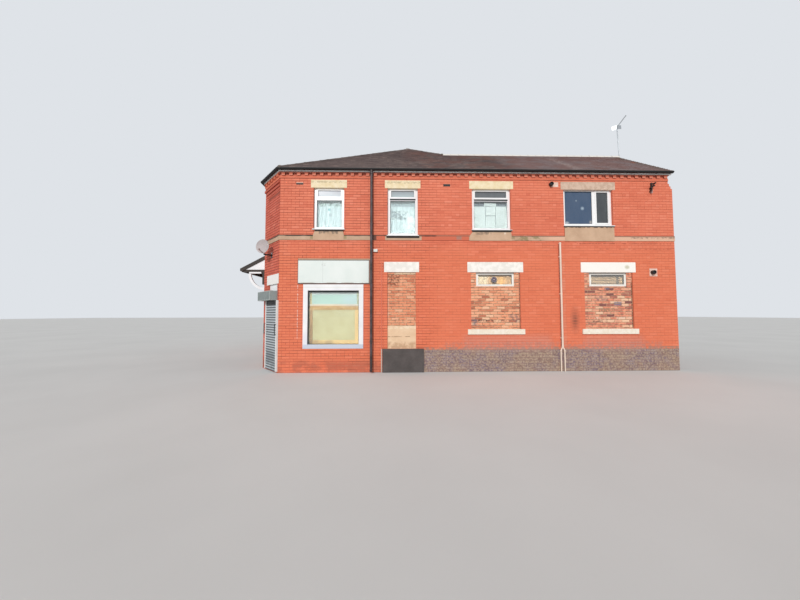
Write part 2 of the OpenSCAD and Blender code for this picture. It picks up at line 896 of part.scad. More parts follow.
module door_infill() {
    color("salmon")
        block(door_x, door_x + door_w, infill_recess, infill_recess + infill_d, step_z, ground_head_z);
}

panel_t = 15;
module door_panel() {
    color("wheat")
        block(door_x, door_x + door_w, infill_recess - panel_t, infill_recess, step_z, door_panel_z);
}

step_lap_left = 150;
step_lap_right = 230;
step_out = 60;
module door_step() {
    color("gray")
        block(door_x - step_lap_left, door_x + door_w + step_lap_right, -step_out, 0, 0, step_z);
}

module blocked_windows_infill() {
    color("indianred") for (x = blocked_windows) difference() {
        block(x, x + blocked_w, infill_recess, infill_recess + infill_d, blocked_sill_z, ground_head_z);
        translate([x + vent_inset, 0, vent_z]) cube([vent_w, wall_t, vent_h]);
    }
}

shutter_box_top = shutter_box_z + shutter_box_h;
module corner_fanlight() {
    color("white") on_corner()
        block(corner_door_x, corner_door_x + corner_door_w, infill_recess, lintel_d,
            shutter_box_z, corner_head_z);
}

guide_w = 60;
guide_out = 55;
shutter_x = guide_w;
shutter_w = 840;
shutter_box_x = 70;
shutter_box_w = 1075;
module shutter_box() {
    color("lightsteelblue") on_corner()
        block(shutter_box_x, shutter_box_x + shutter_box_w, -shutter_box_out, 0,
            shutter_box_z, shutter_box_top);
}

module shutter_guides() {
    color("white") on_corner()
        for (x = [shutter_x - guide_w, shutter_x + shutter_w])
            block(x, x + guide_w, -guide_out, 0, shutter_foot_z, shutter_box_z);
}

// Rolled laths, each a shallow curve, on a flat bottom rail
lath_h = 75;
lath_t = 14;
lath_bow = 9;
rail_h = 70;
rail_t = 26;
lath_back = guide_out - 10;
lath_count = floor((shutter_box_z - shutter_foot_z - rail_h) / lath_h);
lath_pitch = (shutter_box_z - shutter_foot_z - rail_h) / lath_count;
module shutter_curtain() {
    face = -lath_back + lath_t;
    color("lightsteelblue") on_corner() {
        run_of(shutter_x, shutter_x + shutter_w)
            polygon([
                [face, shutter_foot_z + rail_h], [face, shutter_box_z],
                for (i = [lath_count - 1 : -1 : 0], p = [[0, 1], [0.5, 0.75], [1, 0.5], [0.5, 0.2], [0, 0.06]])
                    [
                        -lath_back + lath_bow * (1 - p[0]),
                        shutter_foot_z + rail_h + lath_pitch * (i + p[1])
                    ]
            ]);
        block(shutter_x, shutter_x + shutter_w, -lath_back, -lath_back + rail_t,
            shutter_foot_z, shutter_foot_z + rail_h + cut);
    }
}

// Bent steel pull handles on both guides
handle_z = 1140;
handle_h = 320;
handle_t = 16;
handle_out = 45;
handle_in = 10;
module shutter_handles() {
    color("black") on_corner()
        for (x = [shutter_x - handle_t / 2 - handle_in, shutter_x + shutter_w + guide_w - handle_in])
            translate([x - handle_t / 2, -guide_out, handle_z]) difference() {
                translate([0, -handle_out, 0]) cube([handle_t, handle_out, handle_h]);
                translate([-cut, -handle_out + handle_t, handle_t])
                    cube([handle_t + 2 * cut, handle_out, handle_h - 2 * handle_t]);
            }
}

module rear_frames(list) {
    for (o = list) {
        sash_frame(o[0], o[1], string_top, upper_head_z);
        sash_frame(o[0], o[1], rear_ground_sill, ground_head_z);
    }
}

module rear_panes(list) {
    for (o = list) {
        sash_glass(o[0], o[1], string_top, upper_head_z);
        sash_glass(o[0], o[1], rear_ground_sill, ground_head_z);
    }
}

module rear_windows() {
    color("white") {
        on_yard() rear_frames(yard_openings);
        on_wing_rear() rear_frames(wing_openings);
        on_street() for (o = street_upper) sash_frame(o[0], o[1], string_top, upper_head_z);
    }
}

module rear_glass() {
    color("lightblue", 0.5) {
        on_yard() rear_panes(yard_openings);
        on_wing_rear() rear_panes(wing_openings);
        on_street() {
            for (o = street_upper) sash_glass(o[0], o[1], string_top, upper_head_z);
            shop_glass(street_shop_x);
        }
    }
}

// Lean-to canopy over the street shop window
canopy_x = cant_depth + 40;
canopy_beam_h = 78;
canopy_beam_in = 40;
canopy_beam_w = 90;
canopy_slab_t = 48;
verge_board_h = 112;
verge_board_t = 25;
canopy_lift = 20;
canopy_top = canopy_z + canopy_beam_h + canopy_lift;
canopy_slope = canopy_rise / canopy_out;
module canopy_section(drop0, drop1) {
    polygon([
        [-canopy_out, canopy_top - drop0], [0, canopy_top + canopy_rise - drop0],
        [0, canopy_top + canopy_rise - drop1], [-canopy_out, canopy_top - drop1]
    ]);
}

module canopy_roof() {
    color("dimgray") on_street() run_of(canopy_x, canopy_x + canopy_l) canopy_section(0, canopy_slab_t);
}

// Ring beam, posts on the wall and boards along the two verges
module canopy_beam() {
    post_h = 420;
    color("#2c2a28") on_street() {
        difference() {
            block(canopy_x + seat, canopy_x + canopy_l - seat, -canopy_out + canopy_beam_in, 0,
                canopy_z, canopy_z + canopy_beam_h);
            block(canopy_x + canopy_beam_w, canopy_x + canopy_l - canopy_beam_w,
                -canopy_out + canopy_beam_in + canopy_beam_w, -canopy_beam_w,
                canopy_z - cut, canopy_z + canopy_beam_h + cut);
        }
        for (x = [canopy_x + seat, canopy_x + canopy_l - seat - canopy_beam_w])
            block(x, x + canopy_beam_w, -canopy_beam_w, 0, canopy_z - post_h, canopy_z + cut);
        for (x = [canopy_x - verge_board_t, canopy_x + canopy_l])
            run_of(x, x + verge_board_t) intersection() {
                canopy_section(-verge_board_t / 2, verge_board_h);
                band(canopy_out, canopy_z + verge_board_t, canopy_z * 2);
            }
    }
}

// White boards: a triangle at each end and a batten under the beam
cheek_t = 20;
batten_h = 50;
batten_in = 130;
batten_w = 400;
module canopy_boards() {
    color("white") on_street() {
        for (x = [canopy_x + seat, canopy_x + canopy_l - cheek_t - seat])
            run_of(x, x + cheek_t) difference() {
                band(canopy_out - canopy_beam_in, canopy_z + canopy_beam_h, canopy_top + canopy_rise);
                canopy_section(-canopy_rise * 2, canopy_slab_t + seat);
            }
        for (x = [canopy_x + seat, canopy_x + canopy_l - canopy_beam_w - seat])
            block(x, x + canopy_beam_w, -batten_in - batten_w, -batten_in, canopy_z - batten_h, canopy_z);
    }
}

bracket_r = 475;
bracket_t = 80;
bracket_w = 60;
module canopy_brackets() {
    bracket_z = canopy_z - batten_h;
    color("white") on_street()
        for (x = [canopy_x + canopy_beam_w / 2, canopy_x + canopy_l - canopy_beam_w / 2])
            run_of(x - bracket_w / 2, x + bracket_w / 2) translate([0, bracket_z])
                polygon(concat(arc(bracket_r + bracket_t, 180, 270, 20), arc(bracket_r, 270, 180, 20)));
}

pipe_r = 40;
downpipe_x = 2804;
pipe_y = -(board_out + gutter_r);
collar_h = 55;
collar_t = 8;
shoe_z = 120;
shoe_l = 90;
downpipe_collars = [900, 2600, 4450];
module downpipe() {
    top_z = gutter_rim_z - gutter_r + gutter_t / 2;
    color("#302420") {
        translate([downpipe_x, pipe_y, shoe_z]) cylinder(r = pipe_r, h = top_z - shoe_z, $fn = 32);
        translate([downpipe_x, pipe_y, top_z - collar_h * 2])
            cylinder(r = pipe_r + collar_t, h = collar_h * 2, $fn = 32);
        for (z = downpipe_collars) {
            translate([downpipe_x, pipe_y, z]) cylinder(r = pipe_r + collar_t, h = collar_h, $fn = 32);
            block(downpipe_x - pipe_r / 2, downpipe_x + pipe_r / 2, pipe_y, 0,
                z + collar_t, z + collar_h - collar_t);
        }
        translate([downpipe_x, pipe_y, shoe_z]) sphere(r = pipe_r, $fn = 32);
        translate([downpipe_x, pipe_y, shoe_z]) rotate([120, 0, 0]) cylinder(r = pipe_r, h = shoe_l, $fn = 32);
    }
}

// Waste pipe from the upper floor with an elbow into the wall and two short branches at its foot
waste_x = 8630;
waste_r = 28;
waste_off = 62;
waste_top_z = 3930;
waste_clips = [1000, 2350, 3500];
fork_z = 760;
fork_h = 130;
fork_reach = 58;
fork_r = 20;
fitting_t = 6;
module waste_fork(side) {
    lean = atan2(fork_reach, fork_h);
    rotate([0, 180 - side * lean, 0]) cylinder(r = fork_r, h = norm([fork_reach, fork_h]), $fn = 24);
    translate([side * fork_reach, 0, -fork_h]) sphere(r = fork_r + fitting_t, $fn = 24);
    translate([side * fork_reach, 0, -fork_z]) cylinder(r = fork_r, h = fork_z - fork_h, $fn = 24);
}

module waste_pipe() {
    color("white") {
        translate([waste_x, -waste_off, fork_z]) cylinder(r = waste_r, h = waste_top_z - fork_z, $fn = 32);
        translate([waste_x, -waste_off, fork_z]) sphere(r = waste_r + fitting_t, $fn = 32);
        for (side = [-1, 1]) translate([waste_x, -waste_off, fork_z]) waste_fork(side);
        translate([waste_x, -waste_off, waste_top_z]) sphere(r = waste_r + fitting_t, $fn = 32);
        translate([waste_x, -waste_off, waste_top_z]) rotate([-90, 0, 0])
            cylinder(r = waste_r, h = waste_off, $fn = 32);
        for (z = waste_clips)
            block(waste_x - waste_r * 1.3, waste_x + waste_r * 1.3, -waste_off, 0, z, z + waste_r);
    }
}

// Small fittings of the front wall, each given by its left edge, its foot and its size
air_bricks = [[484, 5742], [5028, 5722]];
air_brick_w = 215;
air_brick_h = 72;
service_box_x = 2865;
service_box_z = 3652;
service_box_w = 122;
service_box_h = 86;
service_box_out = 55;
conduit_x = 3098;
conduit_w = 26;
conduit_top_z = 3346;
flue_1 = [8410, 5805];
flue_2 = [front_l - 750, 3035];
flue_r = 62;
flue_out = 90;
flue_bore = 30;
patch_w = 250;
patch_out = 6;
patch_1 = [-6, 150];
patch_2 = [-90, 245];
cable_bracket_x = front_l - 706;
cable_bracket_z = 5540;
cable_bracket_h = 335;
cable_bracket_w = 28;
insulator_r = 24;
insulator_l = 70;
insulators = [[-26, 70], [-26, 165], [58, 230], [96, 312]];
// Upright bar with short arms that carry turned insulators
module cable_bracket() {
    translate([cable_bracket_x, 0, cable_bracket_z]) {
        block(0, cable_bracket_w, -cable_bracket_w * 2, 0, 0, cable_bracket_h);
        for (p = insulators) {
            block(min(p[0], 0), max(p[0], cable_bracket_w), -cable_bracket_w * 2, -cable_bracket_w,
                p[1] - cable_bracket_w / 4, p[1] + cable_bracket_w / 4);
            translate([p[0], -cable_bracket_w, p[1]]) rotate([90, 0, 0])
                cylinder(r = insulator_r, h = insulator_l, $fn = 24);
        }
    }
}

module wall_fittings() {
    color("silver") {
        for (a = air_bricks)
            block(a[0], a[0] + air_brick_w, -patch_out, 0, a[1], a[1] + air_brick_h);
        block(service_box_x, service_box_x + service_box_w, -service_box_out, 0,
            service_box_z, service_box_z + service_box_h);
        block(conduit_x, conduit_x + conduit_w, -conduit_w, 0, 0, conduit_top_z);
        cable_bracket();
    }
}

// Round flue terminals with the patches of pale mortar that bed them
module flue(at, patch) {
    block(at[0] + patch[0], at[0] + patch[0] + patch_w, -patch_out, 0,
        at[1] - patch[1] / 2, at[1] + patch[1] / 2);
    translate([at[0], 0, at[1]]) rotate([90, 0, 0]) difference() {
        cylinder(r = flue_r, h = flue_out, $fn = 32);
        translate([0, 0, flue_out - flue_bore]) cylinder(r = flue_r - 10, h = flue_bore + cut, $fn = 32);
    }
}

module flue_terminals() {
    color("dimgray") {
        flue(flue_1, patch_1);
        flue(flue_2, patch_2);
    }
}

// Satellite dish on a cranked arm, looking out along the long elevation
dish_s = 607;
dish_off = 238;
dish_z = 3870;
dish_a = 245;
dish_b = 218;
dish_r = 690;
dish_t = 6;
dish_turn = -18;
mast_r = 21;
dish_pole_l = 300;
dish_pole_drop = 260;
dish_arm_h = 40;
dish_plate = [110, 10, 180];
dish_plate_drop = 330;
hub_w = 60;
hub_d = 45;
arm_w = 22;
arm_rise = 22;
feed_r = 30;
feed_l = 60;
dish_place = [
    -dish_s * cos(front_turn) - dish_off * sin(front_turn),
    dish_s * sin(front_turn) - dish_off * cos(front_turn),
    dish_z
];
module dish_pole() {
    foot_z = dish_z - dish_pole_drop;
    translate([dish_s, -dish_off, foot_z]) cylinder(r = mast_r, h = dish_pole_l, $fn = 32);
    block(dish_s - mast_r, dish_s + mast_r, -dish_off, 0, foot_z, foot_z + dish_arm_h);
    translate([dish_s - dish_plate[0] / 2, -dish_plate[1], dish_z - dish_plate_drop]) cube(dish_plate);
}

module dish_bowl() {
    intersection() {
        linear_extrude(dish_a)
            polygon([for (p = arc(1, 0, 350, 35)) [dish_a * p[0], dish_b * p[1]]]);
        translate([0, 0, dish_r]) difference() {
            sphere(r = dish_r, $fn = 128);
            sphere(r = dish_r - dish_t, $fn = 128);
        }
    }
}

module satellite_dish() {
    arm_l = 200;
    color("silver") {
        on_corner() dish_pole();
        translate(dish_place) rotate([90, 0, dish_turn]) {
            translate([-hub_w / 2, -hub_w / 2, -mast_r]) cube([hub_w, hub_w, mast_r + hub_d]);
            translate([0, 0, hub_d - dish_t]) dish_bowl();
            translate([-arm_w / 2, -dish_b, hub_d]) rotate([-arm_rise, 0, 0]) cube([arm_w, arm_w, arm_l]);
            translate([0, -dish_b + arm_l * sin(arm_rise) + arm_w, hub_d + arm_l * cos(arm_rise) - arm_w])
                cylinder(r = feed_r, h = feed_l, $fn = 24);
        }
    }
}

// Television aerial on a leaning mast strapped to the gable
aerial_x = verge_x + 138;
aerial_lean = -2.25;
head_turn = -16;
aerial_foot = 460;
aerial_top_z = 9120;
plate_w = 165;
plate_h = 150;
plate_t = 5;
boom_l = 770;
boom_t = 18;
director_w = 84;
director_t = 6;
director_pitch = 78;
plate_turn = 14;
pole_r = 16;
aerial_straps = [60, 260];
strap_h = 30;

// Reflector plates, boom and directors, with the mast at the origin
module aerial_head() {
    for (turn = [-1, 1])
        rotate([0, 0, plate_turn * turn])
            block(min(0, turn * plate_w), max(0, turn * plate_w), -plate_t / 2, plate_t / 2, 0, plate_h);
    block(-boom_t / 2, boom_t / 2, -boom_l, boom_t, plate_h / 2 - boom_t / 2, plate_h / 2 + boom_t / 2);
    for (i = [1 : floor(boom_l / director_pitch)])
        block(-director_w / 2, director_w / 2, -i * director_pitch, -i * director_pitch + director_t,
            plate_h / 2 - director_t / 2, plate_h / 2 + director_t / 2);
}

module tv_aerial() {
    mast_z = wing_ridge_z - aerial_foot;
    mast_l = aerial_top_z - mast_z;
    strap_x = front_l - gable_step + seat - aerial_x;
    color("silver") translate([aerial_x, wing_ridge_y, mast_z]) {
        for (z = aerial_straps) block(strap_x, z * tan(aerial_lean), -pole_r, pole_r, z, z + strap_h);
        rotate([0, aerial_lean, 0]) {
            cylinder(r = pole_r, h = mast_l, $fn = 24);
            translate([0, 0, mast_l - plate_h / 2]) rotate([0, 0, head_turn]) aerial_head();
        }
    }
}

front_wall();
corner_wall();
street_wall();
party_wall();
yard_wall();
wing_rear_wall();
gable_wall();
ground_floor();
upper_floor();
front_roof_slope();
corner_roof_slope();
street_roof_slope();
yard_roof_slope();
wing_rear_roof_slope();
ridge_tiles();
eaves_board();
gutter();
dentil_course();
string_course();
corner_corbels();
upper_lintels();
ground_lintels();
window_sills();
blocked_window_sills();
window_aprons();
upper_windows_front();
shop_window_frames();
front_glass();
display_board();
sign_board();
sign_backing();
door_infill();
door_panel();
door_step();
blocked_windows_infill();
vent_windows();
window_fan();
corner_fanlight();
shutter_box();
shutter_guides();
shutter_curtain();
shutter_handles();
rear_windows();
rear_glass();
canopy_roof();
canopy_beam();
canopy_boards();
canopy_brackets();
downpipe();
waste_pipe();
wall_fittings();
flue_terminals();
satellite_dish();
tv_aerial();
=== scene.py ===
"""Looks of the corner shop building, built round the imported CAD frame.

The CAD nodes keep their shapes and get procedural finishes. New pieces lay the bricks, the roof tiles and
the small parts over them. Every length is in metres unless its name ends in _mm.
"""

from __future__ import annotations

import logging
import math
from dataclasses import dataclass, field, replace
from enum import Enum
from typing import Iterable, Sequence

import bpy
import numpy as np
from mathutils import Matrix, Vector


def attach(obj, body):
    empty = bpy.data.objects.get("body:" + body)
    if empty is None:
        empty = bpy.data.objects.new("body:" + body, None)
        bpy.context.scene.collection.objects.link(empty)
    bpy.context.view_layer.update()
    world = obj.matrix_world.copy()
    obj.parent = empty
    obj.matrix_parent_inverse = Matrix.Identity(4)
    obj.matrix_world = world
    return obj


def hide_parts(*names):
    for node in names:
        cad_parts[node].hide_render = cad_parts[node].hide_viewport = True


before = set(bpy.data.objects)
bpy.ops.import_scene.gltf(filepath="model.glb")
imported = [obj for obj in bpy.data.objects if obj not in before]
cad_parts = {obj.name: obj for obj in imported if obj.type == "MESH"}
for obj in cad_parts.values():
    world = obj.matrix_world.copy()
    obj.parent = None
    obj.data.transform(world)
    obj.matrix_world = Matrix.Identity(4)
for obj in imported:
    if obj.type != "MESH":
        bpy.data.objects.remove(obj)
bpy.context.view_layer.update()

Array = np.ndarray
Socket = bpy.types.NodeSocket
Piece = bpy.types.Object
Shell = tuple[np.ndarray, list[np.ndarray]]
LOG = logging.getLogger("corner_shop")
MM = 0.001
BODY = "root"


# Sizes shared with the CAD source


@dataclass(frozen=True)
class Survey:
    """The CAD source's own sizes that scene pieces have to line up with, in metres.

    Attributes:
        upper: left edge, width and sill height of each upper window.
        raised: the upper windows whose sills were raised over a rendered patch.
        patch_foot, patch_head: how far each patch stands out left and right of its window.
        air_bricks: lower left corner of each.
        shop, door, corner_door: left, right, foot and head of the openings.
        blocked: left edges of the two blocked windows.
        vent: width, height and foot of the small windows in them.
    """

    front_l: float = 12.310
    cant: float = 0.830
    cant_depth: float = 0.940
    wing_d: float = 4.400
    main_d: float = 8.600
    yard_x: float = 7.590
    gable_step: float = 0.130
    gable_step_z: float = 5.700
    string_z: float = 4.020
    string_top: float = 4.175
    eave_z: float = 6.235
    eave_out: float = 0.110
    pitch: float = math.radians(36.0)
    apex_x: float = 4.135
    verge_out: float = 0.075
    ridge_r: float = 0.115
    ridge_drop: float = 0.095
    capping_end_out: float = 0.055
    neck_z: float = 5.937
    course: float = 0.0825
    brick: float = 0.235
    upper_head: float = 5.650
    upper_lintel_h: float = 0.247
    upper_bearing: float = 0.084
    ground_head: float = 3.035
    ground_lintel_h: float = 0.315
    ground_bearing: float = 0.102
    toplight: float = 0.364
    upper: tuple = (
        (1.019, 0.936, 4.361), (3.294, 0.936, 4.175), (5.921, 1.214, 4.353), (8.812, 1.568, 4.503)
    )
    raised: tuple = (0, 2, 3)
    patch_foot: tuple = ((0.0, 0.0), (0.082, 0.0), (0.0, 0.0))
    patch_head: tuple = ((0.062, 0.030), (0.030, 0.020), (0.0, 0.0))
    sill_t: float = 0.030
    air_bricks: tuple = ((0.484, 5.742), (5.028, 5.722))
    shop: tuple = (0.741, 2.557, 0.717, 2.657)
    door: tuple = (3.290, 4.158, 0.704, 3.035)
    door_panel_z: float = 1.392
    blocked: tuple = (5.852, 9.398)
    blocked_w: float = 1.530
    blocked_sill: float = 1.285
    blocked_sill_h: float = 0.158
    vent: tuple = (1.180, 0.425, 2.600)
    recess: float = 0.040
    corner_door: tuple = (0.105, 0.835, 0.0, 2.690)

    @property
    def turn(self) -> float:
        """Angle in plan from the long face to the canted face."""
        return math.atan2(self.cant_depth, self.cant)

    @property
    def cant_l(self) -> float:
        """Length of the canted face."""
        return math.hypot(self.cant, self.cant_depth)

    @property
    def ridge_run(self) -> float:
        """Plan distance from the yard eave to the main ridge."""
        return self.yard_x + self.eave_out - self.apex_x

    @property
    def ridge_z(self) -> float:
        """Height of the main ridge."""
        return self.eave_z + math.tan(self.pitch) * self.ridge_run

    @property
    def wing_ridge_z(self) -> float:
        """Height of the wing's ridge."""
        return self.eave_z + math.tan(self.pitch) * (self.wing_d / 2 + self.eave_out)

    @property
    def apex(self) -> Array:
        """Top of the hips, where the front, corner and yard slopes meet."""
        return np.array([self.apex_x, self.ridge_run - self.eave_out, self.ridge_z])

    @property
    def hip_foot(self) -> Array:
        """Foot of the hip on the wing's ridge."""
        return np.array([self.yard_x - self.wing_d / 2, self.wing_d / 2, self.wing_ridge_z])

    @property
    def verge_x(self) -> float:
        """Outer edge of the tiles at the gable."""
        return self.front_l - self.gable_step + self.verge_out


SITE = Survey()


@dataclass(frozen=True)
class WallFace:
    """One outer wall face: u runs along it, out stands away from it and z is up.

    A point is origin + u times along + out times outward, at height z.
    """

    origin: tuple
    along: tuple
    outward: tuple

    def place(self, u: Array, out: Array, z: Array) -> Array:
        """World points of wall coordinates.

        Args:
            u, out, z: arrays of one shape, or numbers.
        Returns:
            Array of that shape with a last axis of 3.
        """
        u, out, z = np.broadcast_arrays(*(np.asarray(a, float) for a in (u, out, z)))
        x = self.origin[0] + u * self.along[0] + out * self.outward[0]
        y = self.origin[1] + u * self.along[1] + out * self.outward[1]
        return np.stack([x, y, z], axis=-1)

    @property
    def flips(self) -> bool:
        """True where u, z and outward make a left-handed set."""
        return self.along[1] * self.outward[0] - self.along[0] * self.outward[1] < 0


CANT_ALONG = (-math.cos(SITE.turn), math.sin(SITE.turn))
CANT_OUT = (-math.sin(SITE.turn), -math.cos(SITE.turn))


class Face(Enum):
    """The building's outer faces."""

    FRONT = WallFace((0.0, 0.0), (1.0, 0.0), (0.0, -1.0))
    CORNER = WallFace((0.0, 0.0), CANT_ALONG, CANT_OUT)
    STREET = WallFace((-SITE.cant, 0.0), (0.0, 1.0), (-1.0, 0.0))
    YARD = WallFace((SITE.yard_x, 0.0), (0.0, 1.0), (1.0, 0.0))
    REAR = WallFace((0.0, SITE.wing_d), (1.0, 0.0), (0.0, 1.0))
    GABLE = WallFace((SITE.front_l, 0.0), (0.0, 1.0), (1.0, 0.0))


# Meshes as whole arrays


def placed(name: str, data: bpy.types.ID) -> Piece:
    """A new object at the origin of the scene, made of the data."""
    made = bpy.data.objects.new(name, data)
    bpy.context.scene.collection.objects.link(made)
    return made


class Shells:
    """Gathers shells as numpy arrays and makes one object of them."""

    def __init__(self) -> None:
        """Starts empty."""
        self.points: list[Array] = []
        self.faces: list[list] = []
        self.tones: list[Array] = []
        self.count = 0

    def add(self, points: Array, faces: Array | Sequence[Array], tone: Array | float = 0.5) -> "Shells":
        """Adds one batch of points and faces.

        Args:
            points: n by 3 points.
            faces: one m by k array of point numbers, or several.
            tone: a number from 0 to 1 for the batch or for each point, read by the finishes.
        Returns:
            This bag, so that calls can be chained.
        """
        batches = [faces] if isinstance(faces, np.ndarray) else list(faces)
        self.points.append(points.reshape(-1, 3))
        for batch in batches:
            self.faces.extend((batch + self.count).tolist())
        self.tones.append(np.broadcast_to(np.asarray(tone, float), (len(self.points[-1]),)))
        self.count += len(self.points[-1])
        return self

    def piece(
        self,
        name: str,
        finish: "Finish",
        slot: str,
        replaces: Iterable[str] = (),
        smooth: float = 0.0,
        bevel: float = 0.0,
    ) -> Piece:
        """Makes the object, gives it its finish and lets it ride on the building.

        Args:
            name: the piece's name.
            finish: what it is made of.
            slot: the record's material slot; not used.
            replaces: CAD nodes that it stands for.
            smooth: angle in degrees under which edges are shaded smooth, 0 for none.
            bevel: width of the worn edge in metres, 0 for none.
        Returns:
            The object.
        """
        mesh = bpy.data.meshes.new(name)
        mesh.from_pydata(np.concatenate(self.points), [], self.faces)
        mesh.attributes.new("tone", "FLOAT", "POINT").data.foreach_set(
            "value", np.concatenate(self.tones).astype(np.float32)
        )
        if smooth:
            mesh.shade_smooth()
            mesh.set_sharp_from_angle(angle=math.radians(smooth))
        mesh.update()
        mesh.materials.append(finish.material())
        made = placed(name, mesh)
        if bevel:
            edge = made.modifiers.new("worn_edge", "BEVEL")
            edge.width, edge.segments, edge.limit_method = bevel, 1, "ANGLE"
        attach(made, BODY)
        if replaces:
            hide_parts(*replaces)
        LOG.info("%s: %d faces", name, len(self.faces))
        return made


BLOCK_SIDES = np.array([[4, 5, 6, 7], [3, 2, 1, 0], [0, 1, 5, 4], [1, 2, 6, 5], [2, 3, 7, 6], [3, 0, 4, 7]])
BLOCK_POINTS = 8


def copies(faces: Array, step: int, n: int) -> Array:
    """Faces of n equal shells whose points follow one another."""
    return (faces[None] + step * np.arange(n)[:, None, None]).reshape(-1, faces.shape[1])


def slabs(
    wall: WallFace, rects: Array, back: Array | float, front: Array | float, taper: tuple = (0.0, 0.0)
) -> tuple[Array, Array]:
    """Closed blocks on a wall, each a rectangle drawn in by the taper at its front.

    A block's eight points are the rectangle's corners at depth back, then the same corners moved in by
    taper at depth front.

    Args:
        wall: the face that carries them.
        rects: n by 4 of u0, u1, z0, z1.
        back, front: distance out from the face, a number or n values.
        taper: how far the front is drawn in at the ends, and at the top and foot.
    Returns:
        Points (8n by 3) and quads (6n by 4).
    """
    n = len(rects)
    u0, u1, z0, z1 = rects.T
    side, rim = np.minimum(taper[0], 0.3 * (u1 - u0)), np.minimum(taper[1], 0.3 * (z1 - z0))
    u = np.stack([u0, u1, u1, u0, u0 + side, u1 - side, u1 - side, u0 + side], 1)
    z = np.stack([z0, z0, z1, z1, z0 + rim, z0 + rim, z1 - rim, z1 - rim], 1)
    back, front = (np.broadcast_to(np.asarray(a, float), (n,)) for a in (back, front))
    out = np.concatenate([np.repeat(back[:, None], 4, 1), np.repeat(front[:, None], 4, 1)], 1)
    quads = BLOCK_SIDES[:, ::-1] if wall.flips else BLOCK_SIDES
    return wall.place(u, out, z).reshape(-1, 3), copies(quads, BLOCK_POINTS, n)


def grid_quads(rows: int, columns: int, wrap: bool = False) -> Array:
    """Quads over a grid of points.

    Args:
        rows, columns: size of the grid.
        wrap: True where the last column joins the first.
    Returns:
        m by 4 point numbers.
    """
    r = np.arange(rows - 1)[:, None] * columns
    c = np.arange(columns if wrap else columns - 1)[None]
    d = (c + 1) % columns
    return np.stack([r + c, r + d, r + columns + d, r + columns + c], -1).reshape(-1, 4)


def circles(axes: Array, sides: int) -> Array:
    """Unit circles square to some axes.

    The first arm is the axis crossed with the world axis that leans on it least, the second is the axis
    crossed with the first, and a point is cos(angle) times the first plus sin(angle) times the second.

    Args:
        axes: n by 3 unit vectors.
        sides: points round each circle.
    Returns:
        n by sides by 3 points.
    """
    guide = np.eye(3)[np.argmin(np.abs(axes).max(0))]
    first = np.cross(axes, guide)
    first /= np.linalg.norm(first, axis=1, keepdims=True)
    second = np.cross(axes, first)
    angle = np.linspace(0, 2 * math.pi, sides, endpoint=False)
    return first[:, None] * np.cos(angle)[None, :, None] + second[:, None] * np.sin(angle)[None, :, None]


def capped(rows: int, sides: int) -> list[Array]:
    """Faces round a pile of rings, with a flat cap on its first and on its last ring."""
    cap = np.arange(sides)[None]
    return [grid_quads(rows, sides, wrap=True), cap[:, ::-1], cap + (rows - 1) * sides]


def tube(path: Array, radius: Array | float, sides: int = 12) -> Shell:
    """A closed round bar: a circle carried along a path, square to it at each point.

    Args:
        path: n by 3 points.
        radius: one number, or n.
        sides: points round the circle.
    Returns:
        Points and faces, with a flat end at each side.
    """
    path = np.asarray(path, float)
    tangent = np.gradient(path, axis=0)
    tangent /= np.linalg.norm(tangent, axis=1, keepdims=True)
    radius = np.broadcast_to(np.asarray(radius, float), (len(path),))[:, None, None]
    points = (path[:, None] + radius * circles(tangent, sides)).reshape(-1, 3)
    return points, capped(len(path), sides)


def drawn(profile: Array, low: float, high: float, places: Array, axis: int = 0) -> Shell:
    """A closed outline drawn straight along an axis, once at each place.

    Args:
        profile: k by 2 of the other two coordinates, turning left as seen against the axis.
        low, high: where the drawing starts and ends on the axis.
        places: n by 3 shifts.
        axis: 0 for x, 1 for y.
    Returns:
        Points and faces.
    """
    profile = np.asarray(profile, float)
    k = len(profile)
    others = [i for i in range(3) if i != axis]
    base = np.zeros((2 * k, 3))
    base[:k, axis], base[k:, axis] = low, high
    base[:, others] = np.concatenate([profile, profile])
    places = np.atleast_2d(places)
    points = (base[None] + places[:, None]).reshape(-1, 3)
    ring, caps = grid_quads(2, k, wrap=True), np.stack([np.arange(k)[::-1], np.arange(k) + k])
    if axis:
        ring, caps = ring[:, ::-1], caps[:, ::-1]
    return points, [copies(faces, 2 * k, len(places)) for faces in (ring, caps)]


def turned(profile: Array, centre: Sequence[float], axis: Sequence[float], sides: int = 24) -> Shell:
    """A turned shape: a profile spun once round an axis.

    Args:
        profile: k by 2 of radius and distance along the axis.
        centre: where the axis starts.
        axis: its direction.
        sides: points round a ring.
    Returns:
        Points and faces, closed at both ends.
    """
    profile, axis = np.asarray(profile, float), np.asarray(axis, float) / np.linalg.norm(axis)
    path = np.asarray(centre, float) + profile[:, 1:2] * axis
    points = (path[:, None] + profile[:, 0][:, None, None] * circles(axis[None], sides)).reshape(-1, 3)
    return points, capped(len(profile), sides)


# Finishes


def linear(hex_colour: str) -> tuple[float, float, float, float]:
    """sRGB hex such as '#e07a5a' as a linear colour with alpha 1.

    Each channel is the sRGB curve undone: c / 12.92 below 0.04045, else ((c + 0.055) / 1.055) ** 2.4.
    """
    c = [int(hex_colour[i : i + 2], 16) / 255 for i in (1, 3, 5)]
    r, g, b = (v / 12.92 if v <= 0.04045 else ((v + 0.055) / 1.055) ** 2.4 for v in c)
    return (r, g, b, 1.0)


# Sockets of the Mix node: two numbers, the colours under and over the share, and the mixed colour
NUMBER_A, NUMBER_B, UNDER, OVER, MIXED = 2, 3, 6, 7, 2


